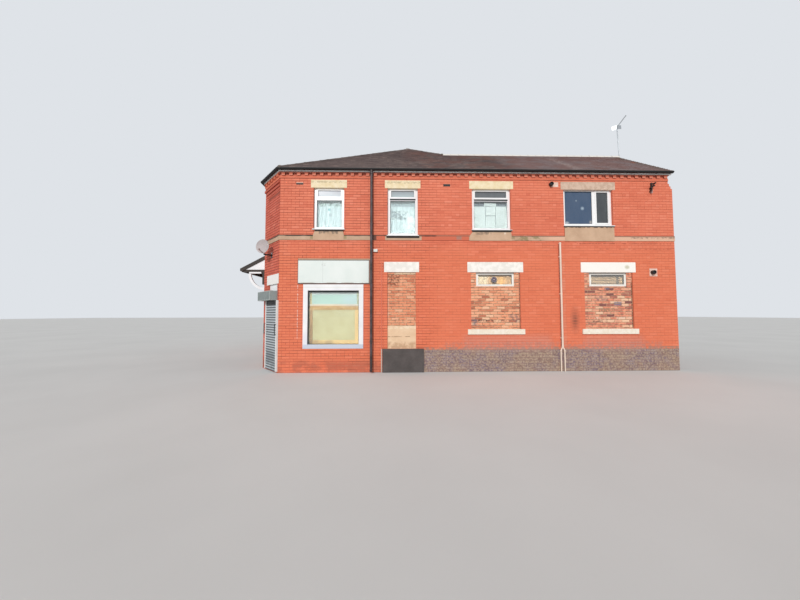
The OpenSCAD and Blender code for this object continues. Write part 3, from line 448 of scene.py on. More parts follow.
def add_node(
    tree: bpy.types.NodeTree, kind: str, links: dict | None = None, out: int | str = 0, **settings: object
) -> Socket | None:
    """Adds one node with its settings and links.

    Args:
        tree: where it goes.
        kind: the node's type without its ShaderNode prefix; a Mix node mixes colours unless told otherwise.
        links: input name or number to a socket, a hex colour or another constant.
        out: which output to give back, where it isn't a mixed colour.
        settings: the node's own properties.
    Returns:
        The output socket, or None where the node has none.
    """
    node = tree.nodes.new("ShaderNode" + kind)
    if kind == "Mix" and "data_type" not in settings:
        settings["data_type"], out = "RGBA", MIXED
    for key, value in settings.items():
        setattr(node, key, value)
    for key, value in (links or {}).items():
        if isinstance(value, Socket):
            tree.links.new(value, node.inputs[key])
        else:
            node.inputs[key].default_value = linear(value) if isinstance(value, str) else value
    return node.outputs[out] if len(node.outputs) else None


class Recipe:
    """The node tree of one material, written node by node."""

    def __init__(self, name: str) -> None:
        """Starts an empty material that knows its place on the object."""
        self.made = bpy.data.materials.new(name)
        self.made.use_nodes = True
        self.tree = self.made.node_tree
        self.tree.nodes.clear()
        self.place = self.add("TexCoord", out="Object")
        self.axes = self.add("SeparateXYZ", {0: self.place}).node.outputs

    def add(
        self, kind: str, links: dict | None = None, out: int | str = 0, **settings: object
    ) -> Socket | None:
        """Adds one node to this material; add_node says how."""
        return add_node(self.tree, kind, links, out, **settings)

    def overlap(self, *shares: Socket | float) -> Socket | float:
        """Where several shares hold at once: their product."""
        held = shares[0]
        for share in shares[1:]:
            held = self.add("Math", {0: held, 1: share}, operation="MULTIPLY")
        return held

    def blotches(
        self,
        size_mm: float,
        low: float = 0.35,
        high: float = 0.65,
        stretch: Sequence[float] = (1.0, 1.0, 1.0),
        detail: float = 3.0,
        seed: float = 0.0,
        most: float = 1.0,
    ) -> Socket:
        """Soft patches of a real size.

        Args:
            size_mm: how far apart the patches are.
            low, high: noise values that become 0 and the full share.
            stretch: how much longer a patch is along x, y and z.
            detail: how many finer layers the edge has.
            seed: moves the pattern.
            most: the full share.
        Returns:
            A share from 0 to most.
        """
        scale = [1000.0 / (size_mm * s) for s in stretch]
        shift = (seed, seed * 0.7, seed * 1.3)
        where = self.add("Mapping", {"Vector": self.place, "Location": shift, "Scale": scale})
        noise = self.add("TexNoise", {"Vector": where, "Scale": 1.0, "Detail": detail, "Roughness": 0.55})
        limits = {"Value": noise, "From Min": low, "From Max": high, "To Max": most}
        return self.add("MapRange", limits)

    def between(self, value: Socket, low: float, high: float, soft: float = 0.004) -> Socket:
        """Where a value lies between two limits.

        Args:
            value: what is compared.
            low, high: the limits.
            soft: half the width of the change at each limit.
        Returns:
            A share of 1 inside and 0 outside.
        """
        up = self.add("MapRange", {"Value": value, "From Min": low - soft, "From Max": low + soft})
        down = self.add("MapRange", {"Value": value, "From Min": high + soft, "From Max": high - soft})
        return self.overlap(up, down)

    def within_course(self, low: float, high: float) -> Socket:
        """1 on the part of each brick course between two shares of its height, 0 beside it."""
        course = self.add("Math", {0: self.axes["Z"], 1: SITE.course}, operation="DIVIDE")
        return self.between(self.add("Math", {0: course}, operation="FRACT"), low, high, 0.05)

    def oval(self, centre: Sequence[float], half: Sequence[float], soft: float) -> Socket:
        """The inside of an ellipsoid.

        Args:
            centre, half: its middle and its half axes.
            soft: share of its size over which the rim fades.
        Returns:
            A share of 1 inside and 0 outside.
        """
        scale = [1.0 / h for h in half]
        shift = [-c * s for c, s in zip(centre, scale)]
        where = self.add("Mapping", {"Vector": self.place, "Location": shift, "Scale": scale})
        reach = self.add("VectorMath", {0: where}, out="Value", operation="LENGTH")
        return self.add("MapRange", {"Value": reach, "From Min": 1.0, "From Max": 1.0 - soft})

    def marked(self, colour: Socket, marks: Iterable["Mark"]) -> Socket:
        """The colour with marks laid over it one after another."""
        for mark in marks:
            colour = self.add("Mix", {0: mark.share(self), UNDER: colour, OVER: mark.colour})
        return colour

    def edges(self, radius_mm: float) -> Socket:
        """1 along outside and inside edges, where the normal rounded over the radius leaves the flat one."""
        rounded = self.add("Bevel", {"Radius": radius_mm * MM}, samples=4)
        flat = self.add("NewGeometry", out="Normal")
        turn = self.add("VectorMath", {0: rounded, 1: flat}, out="Value", operation="DOT_PRODUCT")
        return self.add("MapRange", {"Value": turn, "From Min": 0.995, "From Max": 0.80})

    def done(
        self,
        colour: Socket,
        rough: Socket | float,
        height: Socket | None = None,
        depth_mm: float = 0.0,
        metallic: float = 0.0,
    ) -> bpy.types.Material:
        """Closes the tree with a Principled shader.

        Args:
            colour: base colour.
            rough: roughness.
            height: a share that is raised by depth_mm where it is 1.
            depth_mm: depth of the relief.
            metallic: 1 for a bare metal.
        Returns:
            The material.
        """
        links = {"Base Color": colour, "Roughness": rough, "Metallic": metallic}
        if height is not None:
            links["Normal"] = self.add("Bump", {"Height": height, "Distance": depth_mm * MM, "Strength": 1.0})
        self.add("OutputMaterial", {"Surface": self.add("BsdfPrincipled", links)})
        return self.made


NO_LIMIT = 99.0


@dataclass(frozen=True)
class Mark:
    """A stain, a repainted patch or a line on one place of a finish.

    Attributes:
        colour: its colour.
        x, z, y: lowest and highest place in metres, None where it has no limit.
        cover: how far it covers what lies below.
        soft: width of its edge in metres, or a share of its size where it is an oval.
        gaps_mm: size of the gaps that break it up, 0 for none.
        oval: True for a round mark that fills the three spans.
    """

    colour: str
    x: tuple | None = None
    z: tuple | None = None
    cover: float = 1.0
    soft: float = 0.006
    gaps_mm: float = 0.0
    y: tuple | None = None
    oval: bool = False

    def share(self, recipe: Recipe) -> Socket | float:
        """Where the mark shows, from 0 to 1: its spans or its oval, times its gaps and its cover."""
        shown: Socket | float = self.cover
        spans = (self.x, self.y, self.z)
        if self.oval:
            ends = [span or (-NO_LIMIT, NO_LIMIT) for span in spans]
            centre, half = [(a + b) / 2 for a, b in ends], [(b - a) / 2 for a, b in ends]
            shown = recipe.overlap(recipe.oval(centre, half, self.soft), shown)
        else:
            for which, span in zip("XYZ", spans):
                if span is not None:
                    shown = recipe.overlap(recipe.between(recipe.axes[which], *span, self.soft), shown)
        if self.gaps_mm:
            shown = recipe.overlap(recipe.blotches(self.gaps_mm, 0.42, 0.56, seed=self.gaps_mm * 0.37), shown)
        return shown


GRIME = "#1c1916"


@dataclass(frozen=True)
class Finish:
    """A coat or a bare material with patches, grain, worn edges and relief.

    Attributes:
        name: what it really is.
        colour, patch: its main colour and the colour of its patches.
        patch_mm, share: how far apart the patches are, and how strong.
        grain_mm, grain: size of the fine grain and how far it darkens the colour.
        rough: roughness in the smooth and in the worn places.
        relief_mm: depth of the grain.
        wear, wear_mm: colour and width of worn edges; no wear where the width is 0.
        stretch: how much longer the grain is along x, y and z.
        metallic: 1 for a bare metal.
        seed: moves the patterns.
        marks: stains and repainted places.
    """

    name: str
    colour: str
    patch: str
    patch_mm: float = 400.0
    share: float = 0.6
    grain_mm: float = 6.0
    grain: float = 0.12
    rough: tuple = (0.55, 0.75)
    relief_mm: float = 0.6
    wear: str = "#8a8580"
    wear_mm: float = 0.0
    stretch: tuple = (1.0, 1.0, 1.0)
    metallic: float = 0.0
    seed: float = 0.0
    marks: tuple = ()

    def material(self) -> bpy.types.Material:
        """The Blender material, made once for each finish."""
        found = bpy.data.materials.get(self.name)
        return found if found is not None else self.make(Recipe(self.name))

    def body(self, recipe: Recipe) -> Socket:
        """The colour before wear: the main colour with its patches."""
        patches = recipe.blotches(self.patch_mm, seed=self.seed, most=self.share)
        return recipe.add("Mix", {0: patches, UNDER: self.colour, OVER: self.patch})

    def make(self, recipe: Recipe) -> bpy.types.Material:
        """Fills the recipe: body colour, grain, worn edges, roughness and relief."""
        colour = recipe.marked(self.body(recipe), self.marks)
        grain = recipe.blotches(self.grain_mm, 0.3, 0.7, self.stretch, 4.0, self.seed + 3.1)
        pits = recipe.overlap(grain, self.grain)
        colour = recipe.add("Mix", {0: pits, UNDER: colour, OVER: GRIME})
        if self.wear_mm:
            chance = recipe.blotches(60, 0.42, 0.6, seed=self.seed + 9)
            rubbed = recipe.overlap(recipe.edges(self.wear_mm), chance)
            colour = recipe.add("Mix", {0: rubbed, UNDER: colour, OVER: self.wear})
        smooth, worn = self.rough
        rough = recipe.add("MapRange", {"Value": grain, "To Min": smooth, "To Max": worn})
        return recipe.done(colour, rough, grain, self.relief_mm, self.metallic)


DEEP_JOINT = "#4b2c26"


@dataclass(frozen=True)
class LaidUnits(Finish):
    """Bricks or tiles whose own shade comes with each one in the tone attribute.

    Attributes:
        light, dark: shades of the units at the two ends of the tone.
        spread: how far a unit may go towards them.
        fallen: how much of the bed joints beside the units has fallen out and left dark gaps.
    """

    light: str = "#f09078"
    dark: str = "#c8624a"
    spread: float = 0.75
    fallen: float = 0.0

    def body(self, recipe: Recipe) -> Socket:
        """Patches over the face, then each unit lighter or darker by its tone."""
        colour = super().body(recipe)
        tone = recipe.add("Attribute", out="Fac", attribute_name="tone")
        for start, end, shade in ((0.58, 1.0, self.light), (0.42, 0.0, self.dark)):
            limits = {"Value": tone, "From Min": start, "From Max": end, "To Max": self.spread}
            share = recipe.add("MapRange", limits)
            colour = recipe.add("Mix", {0: share, UNDER: colour, OVER: shade})
        if self.fallen:
            beds = recipe.add("Math", {0: 1.0, 1: recipe.within_course(0.20, 0.84)}, operation="SUBTRACT")
            gaps = recipe.blotches(62, 0.50, 0.60, (1.8, 1.0, 0.8), seed=self.seed + 2)
            share = recipe.overlap(beds, gaps, self.fallen)
            colour = recipe.add("Mix", {0: share, UNDER: colour, OVER: DEEP_JOINT})
        return colour


@dataclass(frozen=True)
class WallCore(Finish):
    """The wall behind the laid bricks: its joints, its coursed reveals and the plaster inside.

    Attributes:
        outward: the face's outward direction.
        joint: colour of the joints.
        plaster: colour of the inner face, dark grey: painted shade of the rooms.
        ghost: how much brick coursing is drawn on the outward face itself, for a face without laid bricks.
        worn: colour of the joints where the paint has gone.
    """

    outward: tuple = (0.0, -1.0, 0.0)
    joint: str = "#b4563e"
    # Dark grey inner plaster: painted shade of the rooms
    plaster: str = "#8b857b"
    ghost: float = 0.0
    worn: str = "#8e4534"

    def body(self, recipe: Recipe) -> Socket:
        """Coursed brick on reveals, joint colour facing out and plaster facing in."""
        rows = recipe.within_course(0.07, 0.93)
        brick = recipe.add("Mix", {0: rows, UNDER: self.joint, OVER: super().body(recipe)})
        gone = recipe.blotches(190, 0.46, 0.62, (2.5, 2.5, 0.5), seed=self.seed + 5, most=0.75)
        joint = recipe.add("Mix", {0: gone, UNDER: self.joint, OVER: self.worn})
        normal = recipe.add("NewGeometry", out="Normal")
        facing = recipe.add("VectorMath", {0: normal, 1: self.outward}, out="Value", operation="DOT_PRODUCT")
        outside = recipe.overlap(recipe.between(facing, 0.9, 2.0, 0.02), 1.0 - self.ghost)
        inside = recipe.between(facing, -2.0, -0.9, 0.02)
        shown = recipe.add("Mix", {0: outside, UNDER: brick, OVER: joint})
        return recipe.add("Mix", {0: inside, UNDER: shown, OVER: self.plaster})


@dataclass(frozen=True)
class WindowPane(Finish):
    """Float glass in sealed units: clear, with a film of dust, painted reflection and painted shade that
    differs between rooms.

    Attributes:
        veils: what the film hides, each as a Mark whose cover is the share of the film.
    """

    veils: tuple = ()

    def make(self, recipe: Recipe) -> bpy.types.Material:
        """Clear glass that lets lamps through, with the film on the side that is looked at."""
        smear = recipe.blotches(160, 0.35, 0.7, (1, 1, 2.5), 4.0, most=0.02)
        film = recipe.marked(self.colour, self.veils)
        film = recipe.add("Mix", {0: smear, UNDER: film, OVER: self.patch})
        veil: Socket | float = self.share
        for mark in self.veils:
            there = replace(mark, cover=1.0).share(recipe)
            veil = recipe.add("Mix", {0: there, NUMBER_A: veil, NUMBER_B: mark.cover}, data_type="FLOAT")
        inner = recipe.add("NewGeometry", out="Backfacing")
        veil = recipe.overlap(veil, recipe.add("Math", {0: 1.0, 1: inner}, operation="SUBTRACT"))
        tint = (0.93, 0.96, 0.96, 1.0)
        body = {"Base Color": tint, "Roughness": 0.02, "Transmission Weight": 1.0, "IOR": 1.45}
        clear = recipe.add("BsdfPrincipled", body)
        dust_and_reflection = recipe.add("BsdfPrincipled", {"Base Color": film, "Roughness": 0.14, "Specular IOR Level": 0.3})
        pane = recipe.add("MixShader", {0: veil, 1: clear, 2: dust_and_reflection})
        lamp = recipe.add("LightPath", out="Is Shadow Ray")
        through = recipe.add("BsdfTransparent", {"Color": (0.86, 0.90, 0.90, 1.0)})
        recipe.add("OutputMaterial", {"Surface": recipe.add("MixShader", {0: lamp, 1: pane, 2: through})})
        return recipe.made


@dataclass(frozen=True)
class RolledLaths(Finish):
    """Rolled steel laths: each has a painted highlight on its crown and painted shade in its hooked joint.

    Attributes:
        foot, pitch: height of the lowest joint and the height of a lath, in metres.
        crown, joint: colours of the painted highlight and of the painted shade.
    """

    foot: float = 0.110
    pitch: float = 0.07667
    crown: str = "#c4ccd0"
    joint: str = "#424a4e"

    def body(self, recipe: Recipe) -> Socket:
        """The plain sheet with a line of painted shade at the joint and a line of painted highlight on the
        crown of every lath.
        """
        rise = recipe.add("Math", {0: recipe.axes["Z"], 1: self.foot}, operation="SUBTRACT")
        lath = recipe.add("Math", {0: rise, 1: self.pitch}, operation="DIVIDE")
        share = recipe.add("Math", {0: lath}, operation="FRACT")
        raised, sunk = recipe.between(share, 0.45, 0.82, 0.12), recipe.between(share, 0.0, 0.30, 0.10)
        colour = recipe.add("Mix", {0: raised, UNDER: super().body(recipe), OVER: self.crown})
        return recipe.add("Mix", {0: recipe.overlap(sunk, 0.80), UNDER: colour, OVER: self.joint})


# Masonry paint rolled over old brick: dull, a little chalky, thick enough to soften the joints. Its foot
# is bare brick, mauve and grey with lime on it
BARE_FOOT = (
    Mark("#8f7e74", (4.38, 12.4), (-1.0, 0.668), 0.92, 0.01),
    Mark("#a0806f", (4.38, 12.4), (0.64, 0.745), 0.8, 0.015, 85),
    Mark("#6c6484", (4.38, 12.4), (-1.0, 0.67), 0.55, 0.012, 620),
    Mark("#6e4c42", (4.38, 12.4), (-1.0, 0.67), 0.4, 0.012, 170),
    Mark("#d3bda0", (4.38, 12.4), (-1.0, 0.67), 0.42, 0.02, 55),
    Mark("#7d5348", (-1.0, 4.38), (-1.0, 0.33), 0.4, 0.08, 330),
)
FRONT_BRICK = LaidUnits(
    "coral_masonry_paint", "#e98262", "#dd7354", 1300, 0.8, 5, 0.1, (0.62, 0.85), 0.8,
    light="#f4967a", dark="#cf6448", spread=0.55,
    marks=(
        Mark("#e67a4f", z=(-1.0, 3.8), cover=0.45, soft=0.3),
        *BARE_FOOT,
        Mark("#f6dcd2", (0.563, 0.586), (0.98, 2.64), 0.85, 0.004, 90),
        Mark("#6f4336", (8.89, 9.25), (1.06, 2.1), 0.65, 1.0, y=(-1, 1), oval=True),
        Mark("#6f4336", (8.97, 9.17), (1.28, 1.78), 0.45, 1.0, y=(-1, 1), oval=True),
        Mark("#c4958a", (5.6, 8.3), (0.62, 1.1), 0.35, 0.1),
        Mark("#c4958a", (9.35, 11.2), (0.62, 1.08), 0.35, 0.1),
        Mark("#9b837c", (5.0, 11.8), (0.62, 0.9), 0.4, 0.06, 105),
        Mark("#7a3a2a", (9.2, 12.2), (3.925, 3.945), 0.75, 0.004, 75),
        Mark("#7a3a2a", (9.9, 12.2), (3.76, 3.778), 0.6, 0.004, 90),
        Mark("#8f4736", (10.9, 12.3), (5.28, 5.3), 0.5, 0.004, 90),
        Mark("#d99a82", (8.7, 8.8), (0.75, 3.6), 0.35, 0.03, 200),
        # A dark line beside the waste pipe: painted shadow
        Mark("#83402f", (8.6, 8.652), (0.75, 3.93), 0.7, 0.006),
    ),
)
# The same paint in the joints: duller, because the roller missed it
FRONT_CORE = WallCore(
    "coral_paint_in_joints", "#dc7456", "#d0684a", 900, 0.7, 5, 0.12, (0.7, 0.9), 0.8, joint="#c9634a",
    marks=(
        Mark("#e6825f", (4.7, 12.4), (0.5, 3.95), 0.93, 0.25, y=(-1.0, 0.03)),
        Mark("#e57c5e", (4.7, 12.4), (4.15, 6.3), 0.7, 0.25, y=(-1.0, 0.03)),
        Mark("#96432f", (-1.0, 4.7), (4.15, 6.3), 0.5, 0.25, y=(-1.0, 0.03)),
        *BARE_FOOT[:2],
    ),
)
# Red paint on the canted corner, more worn than on the long face. Its bricks and joints are darker and redder:
# painted shade
CORNER_BRICK = LaidUnits(
    "worn_red_masonry_paint", "#d96a54", "#cc5d47", 700, 0.8, 5, 0.14, (0.6, 0.85), 0.9,
    light="#ec846b", dark="#b8533d", seed=4.0,
    marks=(Mark("#7c5a4e", z=(-1.0, 0.3), cover=0.7, soft=0.1, gaps_mm=300),),
)
CORNER_CORE = WallCore(
    "worn_red_paint_in_joints", "#c75d47", "#b8533d", 700, 0.7, 5, 0.14, (0.7, 0.9), 0.8,
    outward=(*CANT_OUT, 0.0), joint="#9a4836",
)
STREET_CORE = replace(FRONT_CORE, name="coral_paint_street_joints", outward=(-1.0, 0.0, 0.0), marks=())
# Bare pressed brick of the back walls, fired unevenly and darkened by soot
BARE_BRICK = LaidUnits(
    "bare_red_brick", "#a4563f", "#8f4a38", 900, 0.8, 6, 0.16, (0.75, 0.92), 1.0,
    light="#bd7052", dark="#6f4138",
    marks=(Mark("#6a5a50", z=(-1.0, 0.35), cover=0.8, soft=0.12, gaps_mm=300),),
)
# Lime mortar of the back walls: pale and dry, rubbed back from the bricks
YARD_CORE = WallCore(
    "lime_mortar_yard", "#8f4f3c", "#a08c78", 700, 0.5, 5, 0.12, (0.8, 0.95), 0.8,
    outward=(1, 0, 0), joint="#a09584",
)
REAR_CORE = replace(YARD_CORE, name="lime_mortar_rear", outward=(0, 1, 0))
# Cut face of the terrace: rough common brick with smeared mortar
PARTY_CORE = WallCore(
    "rough_party_brick", "#94584a", "#7d5a50", 500, 0.8, 9, 0.2, (0.85, 0.95), 2.0,
    outward=(0, 1, 0), joint="#9b8f80", ghost=1.0,
)
# Paint on moulded brick, dusty. Painted shade darkens the gaps between the dentils, the upper part of their
# faces, the oversail course under the gutter and the underside of the neck course; a painted highlight lightens
# the dentils' feet
DENTIL_BRICK = Finish(
    "coral_paint_on_dentils", "#e47b5c", "#c9603f", 300, 0.6, 5, 0.14, (0.65, 0.85), 0.8, "#b9b0a6", 5,
    marks=(
        # Painted shade under the neck, in the gaps, on the upper faces and on the oversail; last, a painted
        # highlight
        Mark("#6b3226", z=(SITE.neck_z, 5.945), cover=0.7, soft=0.004),
        Mark("#6e3327", (-0.03, 12.4), (6.03, 6.1), 0.8, 0.012, y=(-0.042, 1.0)),
        Mark("#9c5342", (-0.03, 12.4), (6.066, 6.1), 0.6, 0.008, y=(-0.06, -0.046)),
        Mark("#5b2a20", (-0.03, 12.4), (6.096, 6.14), 0.7, 0.004),
        Mark("#f8bba2", (-0.03, 12.4), (6.018, 6.04), 0.5, 0.003, y=(-0.06, -0.046)),
    ),
)
# Concrete plain tiles weathered mauve-grey, with rusty and pale blooms of lichen
ROOF_TILE = LaidUnits(
    "weathered_plain_tile", "#7f706c", "#6b5c5b", 1100, 0.9, 14, 0.2, (0.75, 0.95), 1.2,
    light="#a8938c", dark="#574a4b", seed=7.0,
    marks=(
        Mark("#a39091", (7.4, 12.4), cover=0.55, soft=0.5, y=(-0.3, 2.3)),
        Mark("#8a5f55", (4.0, 12.4), cover=0.45, soft=0.3, gaps_mm=520, y=(-0.3, 3.4)),
        Mark("#c2b3ae", (9.16, 9.46), cover=0.5, soft=0.06, gaps_mm=70, y=(0.0, 1.6)),
        Mark("#6b6048", (11.9, 12.4), cover=0.45, soft=0.15, gaps_mm=190, y=(-0.3, 2.3)),
        Mark("#c06a3c", (11.86, 12.06), (6.98, 7.18), 0.8, 0.7, y=(0.95, 1.15), oval=True),
    ),
)
# The dark under the tiles
ROOF_BED = Finish("tile_bed_shadow", "#4a4140", "#3c3535", 600, 0.6, 10, 0.2, (0.85, 0.95), 1.0)
# Fired cappings, some smeared white with mortar
RIDGE_TILE = LaidUnits(
    "weathered_ridge_tile", "#5b4d4a", "#6d605a", 500, 0.7, 10, 0.2, (0.75, 0.95), 1.0,
    light="#f1ede6", dark="#3f3533", spread=0.95, seed=2.0,
)
# Old bedding mortar: coarse, pale and dull
MORTAR = Finish("pale_bedding_mortar", "#a9a195", "#7f7870", 250, 0.8, 8, 0.25, (0.85, 0.97), 2.0)
# Oil gloss peeling off softwood: bright, with grey scuffed edges
WHITE_BOARD = Finish(
    "peeling_white_gloss", "#fefefd", "#e9e6e2", 260, 0.3, 5, 0.05, (0.35, 0.7), 0.4, "#6f6961", 5,
    marks=(Mark("#a5a19c", (6.4, 12.4), cover=0.35, soft=0.6, gaps_mm=260, y=(-1, 1)),),
)
# Extruded plastic: black with a low sheen
BLACK_GUTTER = Finish(
    "black_gutter_plastic", "#08090a", "#121314", 500, 0.6, 4, 0.1, (0.5, 0.75), 0.3, "#333435", 3,
)
# Masonry paint on sand render: matt and patchy, darker at the foot of the door panel. The dark lines just under
# the upper sills are painted shadow
BUFF_RENDER = Finish(
    "buff_paint_on_render", "#d6b496", "#c29f82", 350, 0.8, 7, 0.14, (0.7, 0.9), 1.4, "#9a8876", 8,
    marks=(
        Mark("#d36c4f", soft=0.004, y=(-0.012, 1.0)),
        Mark("#857262", (1.2, 1.78), (4.2, 4.33), 0.9, 0.02, 105),
        Mark("#857262", (6.02, 6.5), (4.2, 4.33), 0.8, 0.02, 105),
        Mark("#efe3d2", (6.9, 6.96), (4.2, 4.28), 0.8, 0.5, y=(-1, 1), oval=True),
        # Painted shadow under the upper sills, broken under the fourth
        Mark("#57463b", (8.8, 10.4), (4.425, 4.475), 0.9, 0.006, 62),
        Mark("#1a1411", (0.98, 2.0), (4.278, 4.335), 0.97, 0.003),
        Mark("#1a1411", (5.88, 7.17), (4.276, 4.325), 0.97, 0.003),
        Mark("#1a1411", (8.77, 10.42), (4.448, 4.475), 0.95, 0.003),
    ),
)
PANEL_RENDER = Finish(
    "buff_paint_on_panel", "#efd0ad", "#e2bd98", 300, 0.7, 7, 0.1, (0.7, 0.9), 1.4, "#b99a7e", 8,
    marks=(
        Mark("#8f6b4f", (3.29, 3.98), (1.055, 1.078), 0.75, 0.005, 130),
        Mark("#b98f6c", (3.29, 4.16), (0.7, 0.9), 0.6, 0.04, 160),
        Mark("#f8e6cc", (3.29, 4.16), (1.3, 1.4), 0.6, 0.01, 150),
    ),
)
# Paint brushed on stone: pale and nearly matt, with yellow patches
LINTEL = Finish(
    "pale_paint_on_lintels", "#f8e8c6", "#e9d3a4", 150, 0.8, 6, 0.1, (0.6, 0.85), 1.0, "#b3a48f", 7,
    marks=(
        Mark("#ad9c78", (0.9, 4.35), (5.8, 5.858), 0.55, 0.01, 58),
        Mark("#d9bda8", (8.6, 10.7), soft=0.01, y=(-1, 1)),
        Mark("#b99b84", (8.6, 10.7), cover=0.5, gaps_mm=110, y=(-1, 1)),
    ),
)
CREAM_STONE = Finish(
    "cream_paint_on_stone", "#f8f1e4", "#efe4cd", 260, 0.6, 6, 0.08, (0.6, 0.85), 0.9, "#b3a48f", 7,
    marks=(
        Mark("#fdfaf5", (3.1, 11.2), (3.03, 3.36), 0.8, 0.004, y=(-1, 0.2)),
        Mark("#d8c8a8", (5.74, 11.1), (1.0, 1.29), 0.25, 0.01, 90),
        # The corner door's lintel is greyed: painted shade
        Mark("#f4f1ef", (-3.0, -0.01), cover=0.85, soft=0.005),
        Mark("#c9c3a8", (10.66, 10.86), (3.12, 3.28), 0.8, 0.6, y=(-1, 1), oval=True),
        Mark("#d3cfc6", (3.2, 7.5), (3.03, 3.36), 0.35, gaps_mm=150),
    ),
)
# Thin render on a brick band: brown where dirt has run, red where the wall paint crossed it. The dark band
# along its top and the black line under the second window's sill are painted shadow
STRING = Finish(
    "painted_string_render", "#cfae93", "#bd9b7f", 450, 0.8, 7, 0.14, (0.7, 0.9), 1.4, "#8d7765", 4,
    marks=(
        Mark("#d36c4f", (2.86, 3.22), y=(-1, 0.2)),
        Mark("#d36c4f", (4.34, 5.81), y=(-1, 0.2)),
        Mark("#94857a", (5.42, 5.58), (4.04, 4.15), 0.6, 0.02),
        Mark("#8b8250", (0.93, 1.03), (4.05, 4.18), 0.6, 0.02),
        Mark("#8b8250", (1.95, 2.04), (4.05, 4.18), 0.6, 0.02),
        Mark("#837a50", (7.0, 8.1), cover=0.7, soft=0.05, gaps_mm=110, y=(-1, 0.2)),
        Mark("#ecc0a4", (8.2, 12.4), cover=0.75, soft=0.2, y=(-1, 0.2)),
        Mark("#6b574b", (10.9, 12.31), (4.09, 4.145), 0.6, 0.015, 105, y=(-1, 0.2)),
        Mark("#453730", (2.8, 2.95), cover=0.85, soft=0.02, y=(-1, 0.2)),
        # Painted shadow along the band's top, and under the second window's sill
        Mark("#3a2a22", (-3.0, 4.8), (4.134, 4.3), 0.95, 0.004, 420),
        Mark("#46352c", (-3.0, 4.8), (4.146, 4.3), 0.9, 0.004),
        Mark("#8a6350", (4.8, 12.4), (4.142, 4.3), 0.85, 0.004),
        Mark("#1f1815", (3.26, 4.27), (4.082, 4.15), 0.97, 0.004, y=(-1, 0.2)),
    ),
)
# Extruded window plastic: smooth and white, with a soft shine
WHITE_PLASTIC = Finish(
    "white_window_plastic", "#f6f6f6", "#e9e9e7", 500, 0.5, 3, 0.03, (0.22, 0.4), 0.1, "#c9c9c7", 2,
)
# The small windows' frames are dark at the head: painted shade under the lintels
VENT_PLASTIC = replace(
    WHITE_PLASTIC, name="white_vent_plastic", colour="#f5f0e6",
    marks=(Mark("#77706b", z=(2.975, 3.1), cover=0.75),),
)
# The sills are dark on their undersides: painted shade
SILL_PLASTIC = replace(
    WHITE_PLASTIC, name="white_sill_plastic",
    marks=tuple(
        Mark("#2b2725", z=(sill - 0.04, sill - 0.021), cover=0.9, soft=0.002) for _, _, sill in SITE.upper
    ),
)
# Gloss on planed timber: clear highlights, cream on rubbed edges
WHITE_GLOSS = Finish(
    "white_gloss_on_timber", "#f4f4f5", "#e3e4e6", 420, 0.6, 4, 0.05, (0.28, 0.5), 0.3, "#b0a795", 4,
    marks=(
        # The shop surround's foot and the lower part of its left side are tinted blue-grey: painted shade
        Mark("#bcc6d6", (0.74, 2.56), (0.7, 0.843), 0.8, 0.008),
        Mark("#d0d4e8", (0.74, 0.877), (0.7, 1.15), 0.5, 0.12),
        Mark("#d9d2c4", (0.74, 2.56), (2.56, 2.575), 0.6, 0.004),
    ),
)
# The veils paint what the panes show: the sky's slate blue with pale reflected spots on the fourth window, dark
# over its casement and the third top light where the rooms lie in shade, grey sky over the other top lights,
# and pale films that lighten the nets and the blind. They are painted reflection, painted shade and painted
# light
GLASS = WindowPane(
    "window_glass_pane", "#dfe9ea", "#eef2f2", share=0.08,
    veils=(
        Mark("#dfe9e8", (0.9, 4.2), (4.1, 5.7), 0.16, 0.001, y=(-1, 1)),
        Mark("#c3c6d0", (0.9, 2.1), (5.3, 5.7), 0.8, 0.001, y=(-1, 1)),
        Mark("#a4aeb6", (3.2, 4.3), (5.3, 5.7), 0.75, 0.001, y=(-1, 1)),
        Mark("#3f3f47", (5.9, 7.2), (5.3, 5.7), 0.85, 0.001, y=(-1, 1)),
        Mark("#344c6b", (8.7, 9.87), (4.2, 5.7), 0.96, 0.001, y=(-1, 1)),
        Mark("#2f3338", (9.87, 10.7), (4.2, 5.7), 0.94, 0.001, y=(-1, 1)),
        Mark("#b9cddd", (9.4, 9.54), (5.02, 5.16), 0.85, 0.9, y=(-1, 1), oval=True),
        Mark("#a9bac6", (9.24, 9.31), (5.3, 5.37), 0.75, 0.8, y=(-1, 1), oval=True),
        Mark("#c5ced4", (8.88, 9.05), (4.56, 4.68), 0.85, 0.8, y=(-1, 1), oval=True),
        Mark("#c5bfb6", (9.66, 9.8), (4.57, 4.72), 0.8, 0.9, y=(-1, 1), oval=True),
        Mark("#c9925f", (9.5, 10.9), (2.6, 3.03), 0.18, 0.001, y=(-1, 1)),
    ),
)
# Stained softwood: long dark grain
DARK_TIMBER = Finish(
    "dark_stained_timber", "#2f2620", "#40332a", 200, 0.7, 3, 0.25, (0.5, 0.8), 0.6, "#6d5a47", 4, (1, 6, 1),
)
FASCIA_TIMBER = Finish(
    "old_fascia_timber", "#2d2522", "#46383a", 200, 0.7, 3, 0.25, (0.5, 0.8), 0.6, "#6d5a47", 4, (6, 1, 1),
    marks=(Mark("#a98573", (2.722, 2.9), cover=0.8), Mark("#cfae90", z=(3.408, 3.5), cover=0.95, soft=0.003)),
)
# Paint worn into cast concrete: grey, rough and blotchy, and darker than the paint itself: painted shade
CONCRETE = Finish(
    "grey_painted_concrete", "#5d5654", "#4a4442", 300, 0.8, 8, 0.2, (0.7, 0.9), 1.6, "#8a8179", 12,
)
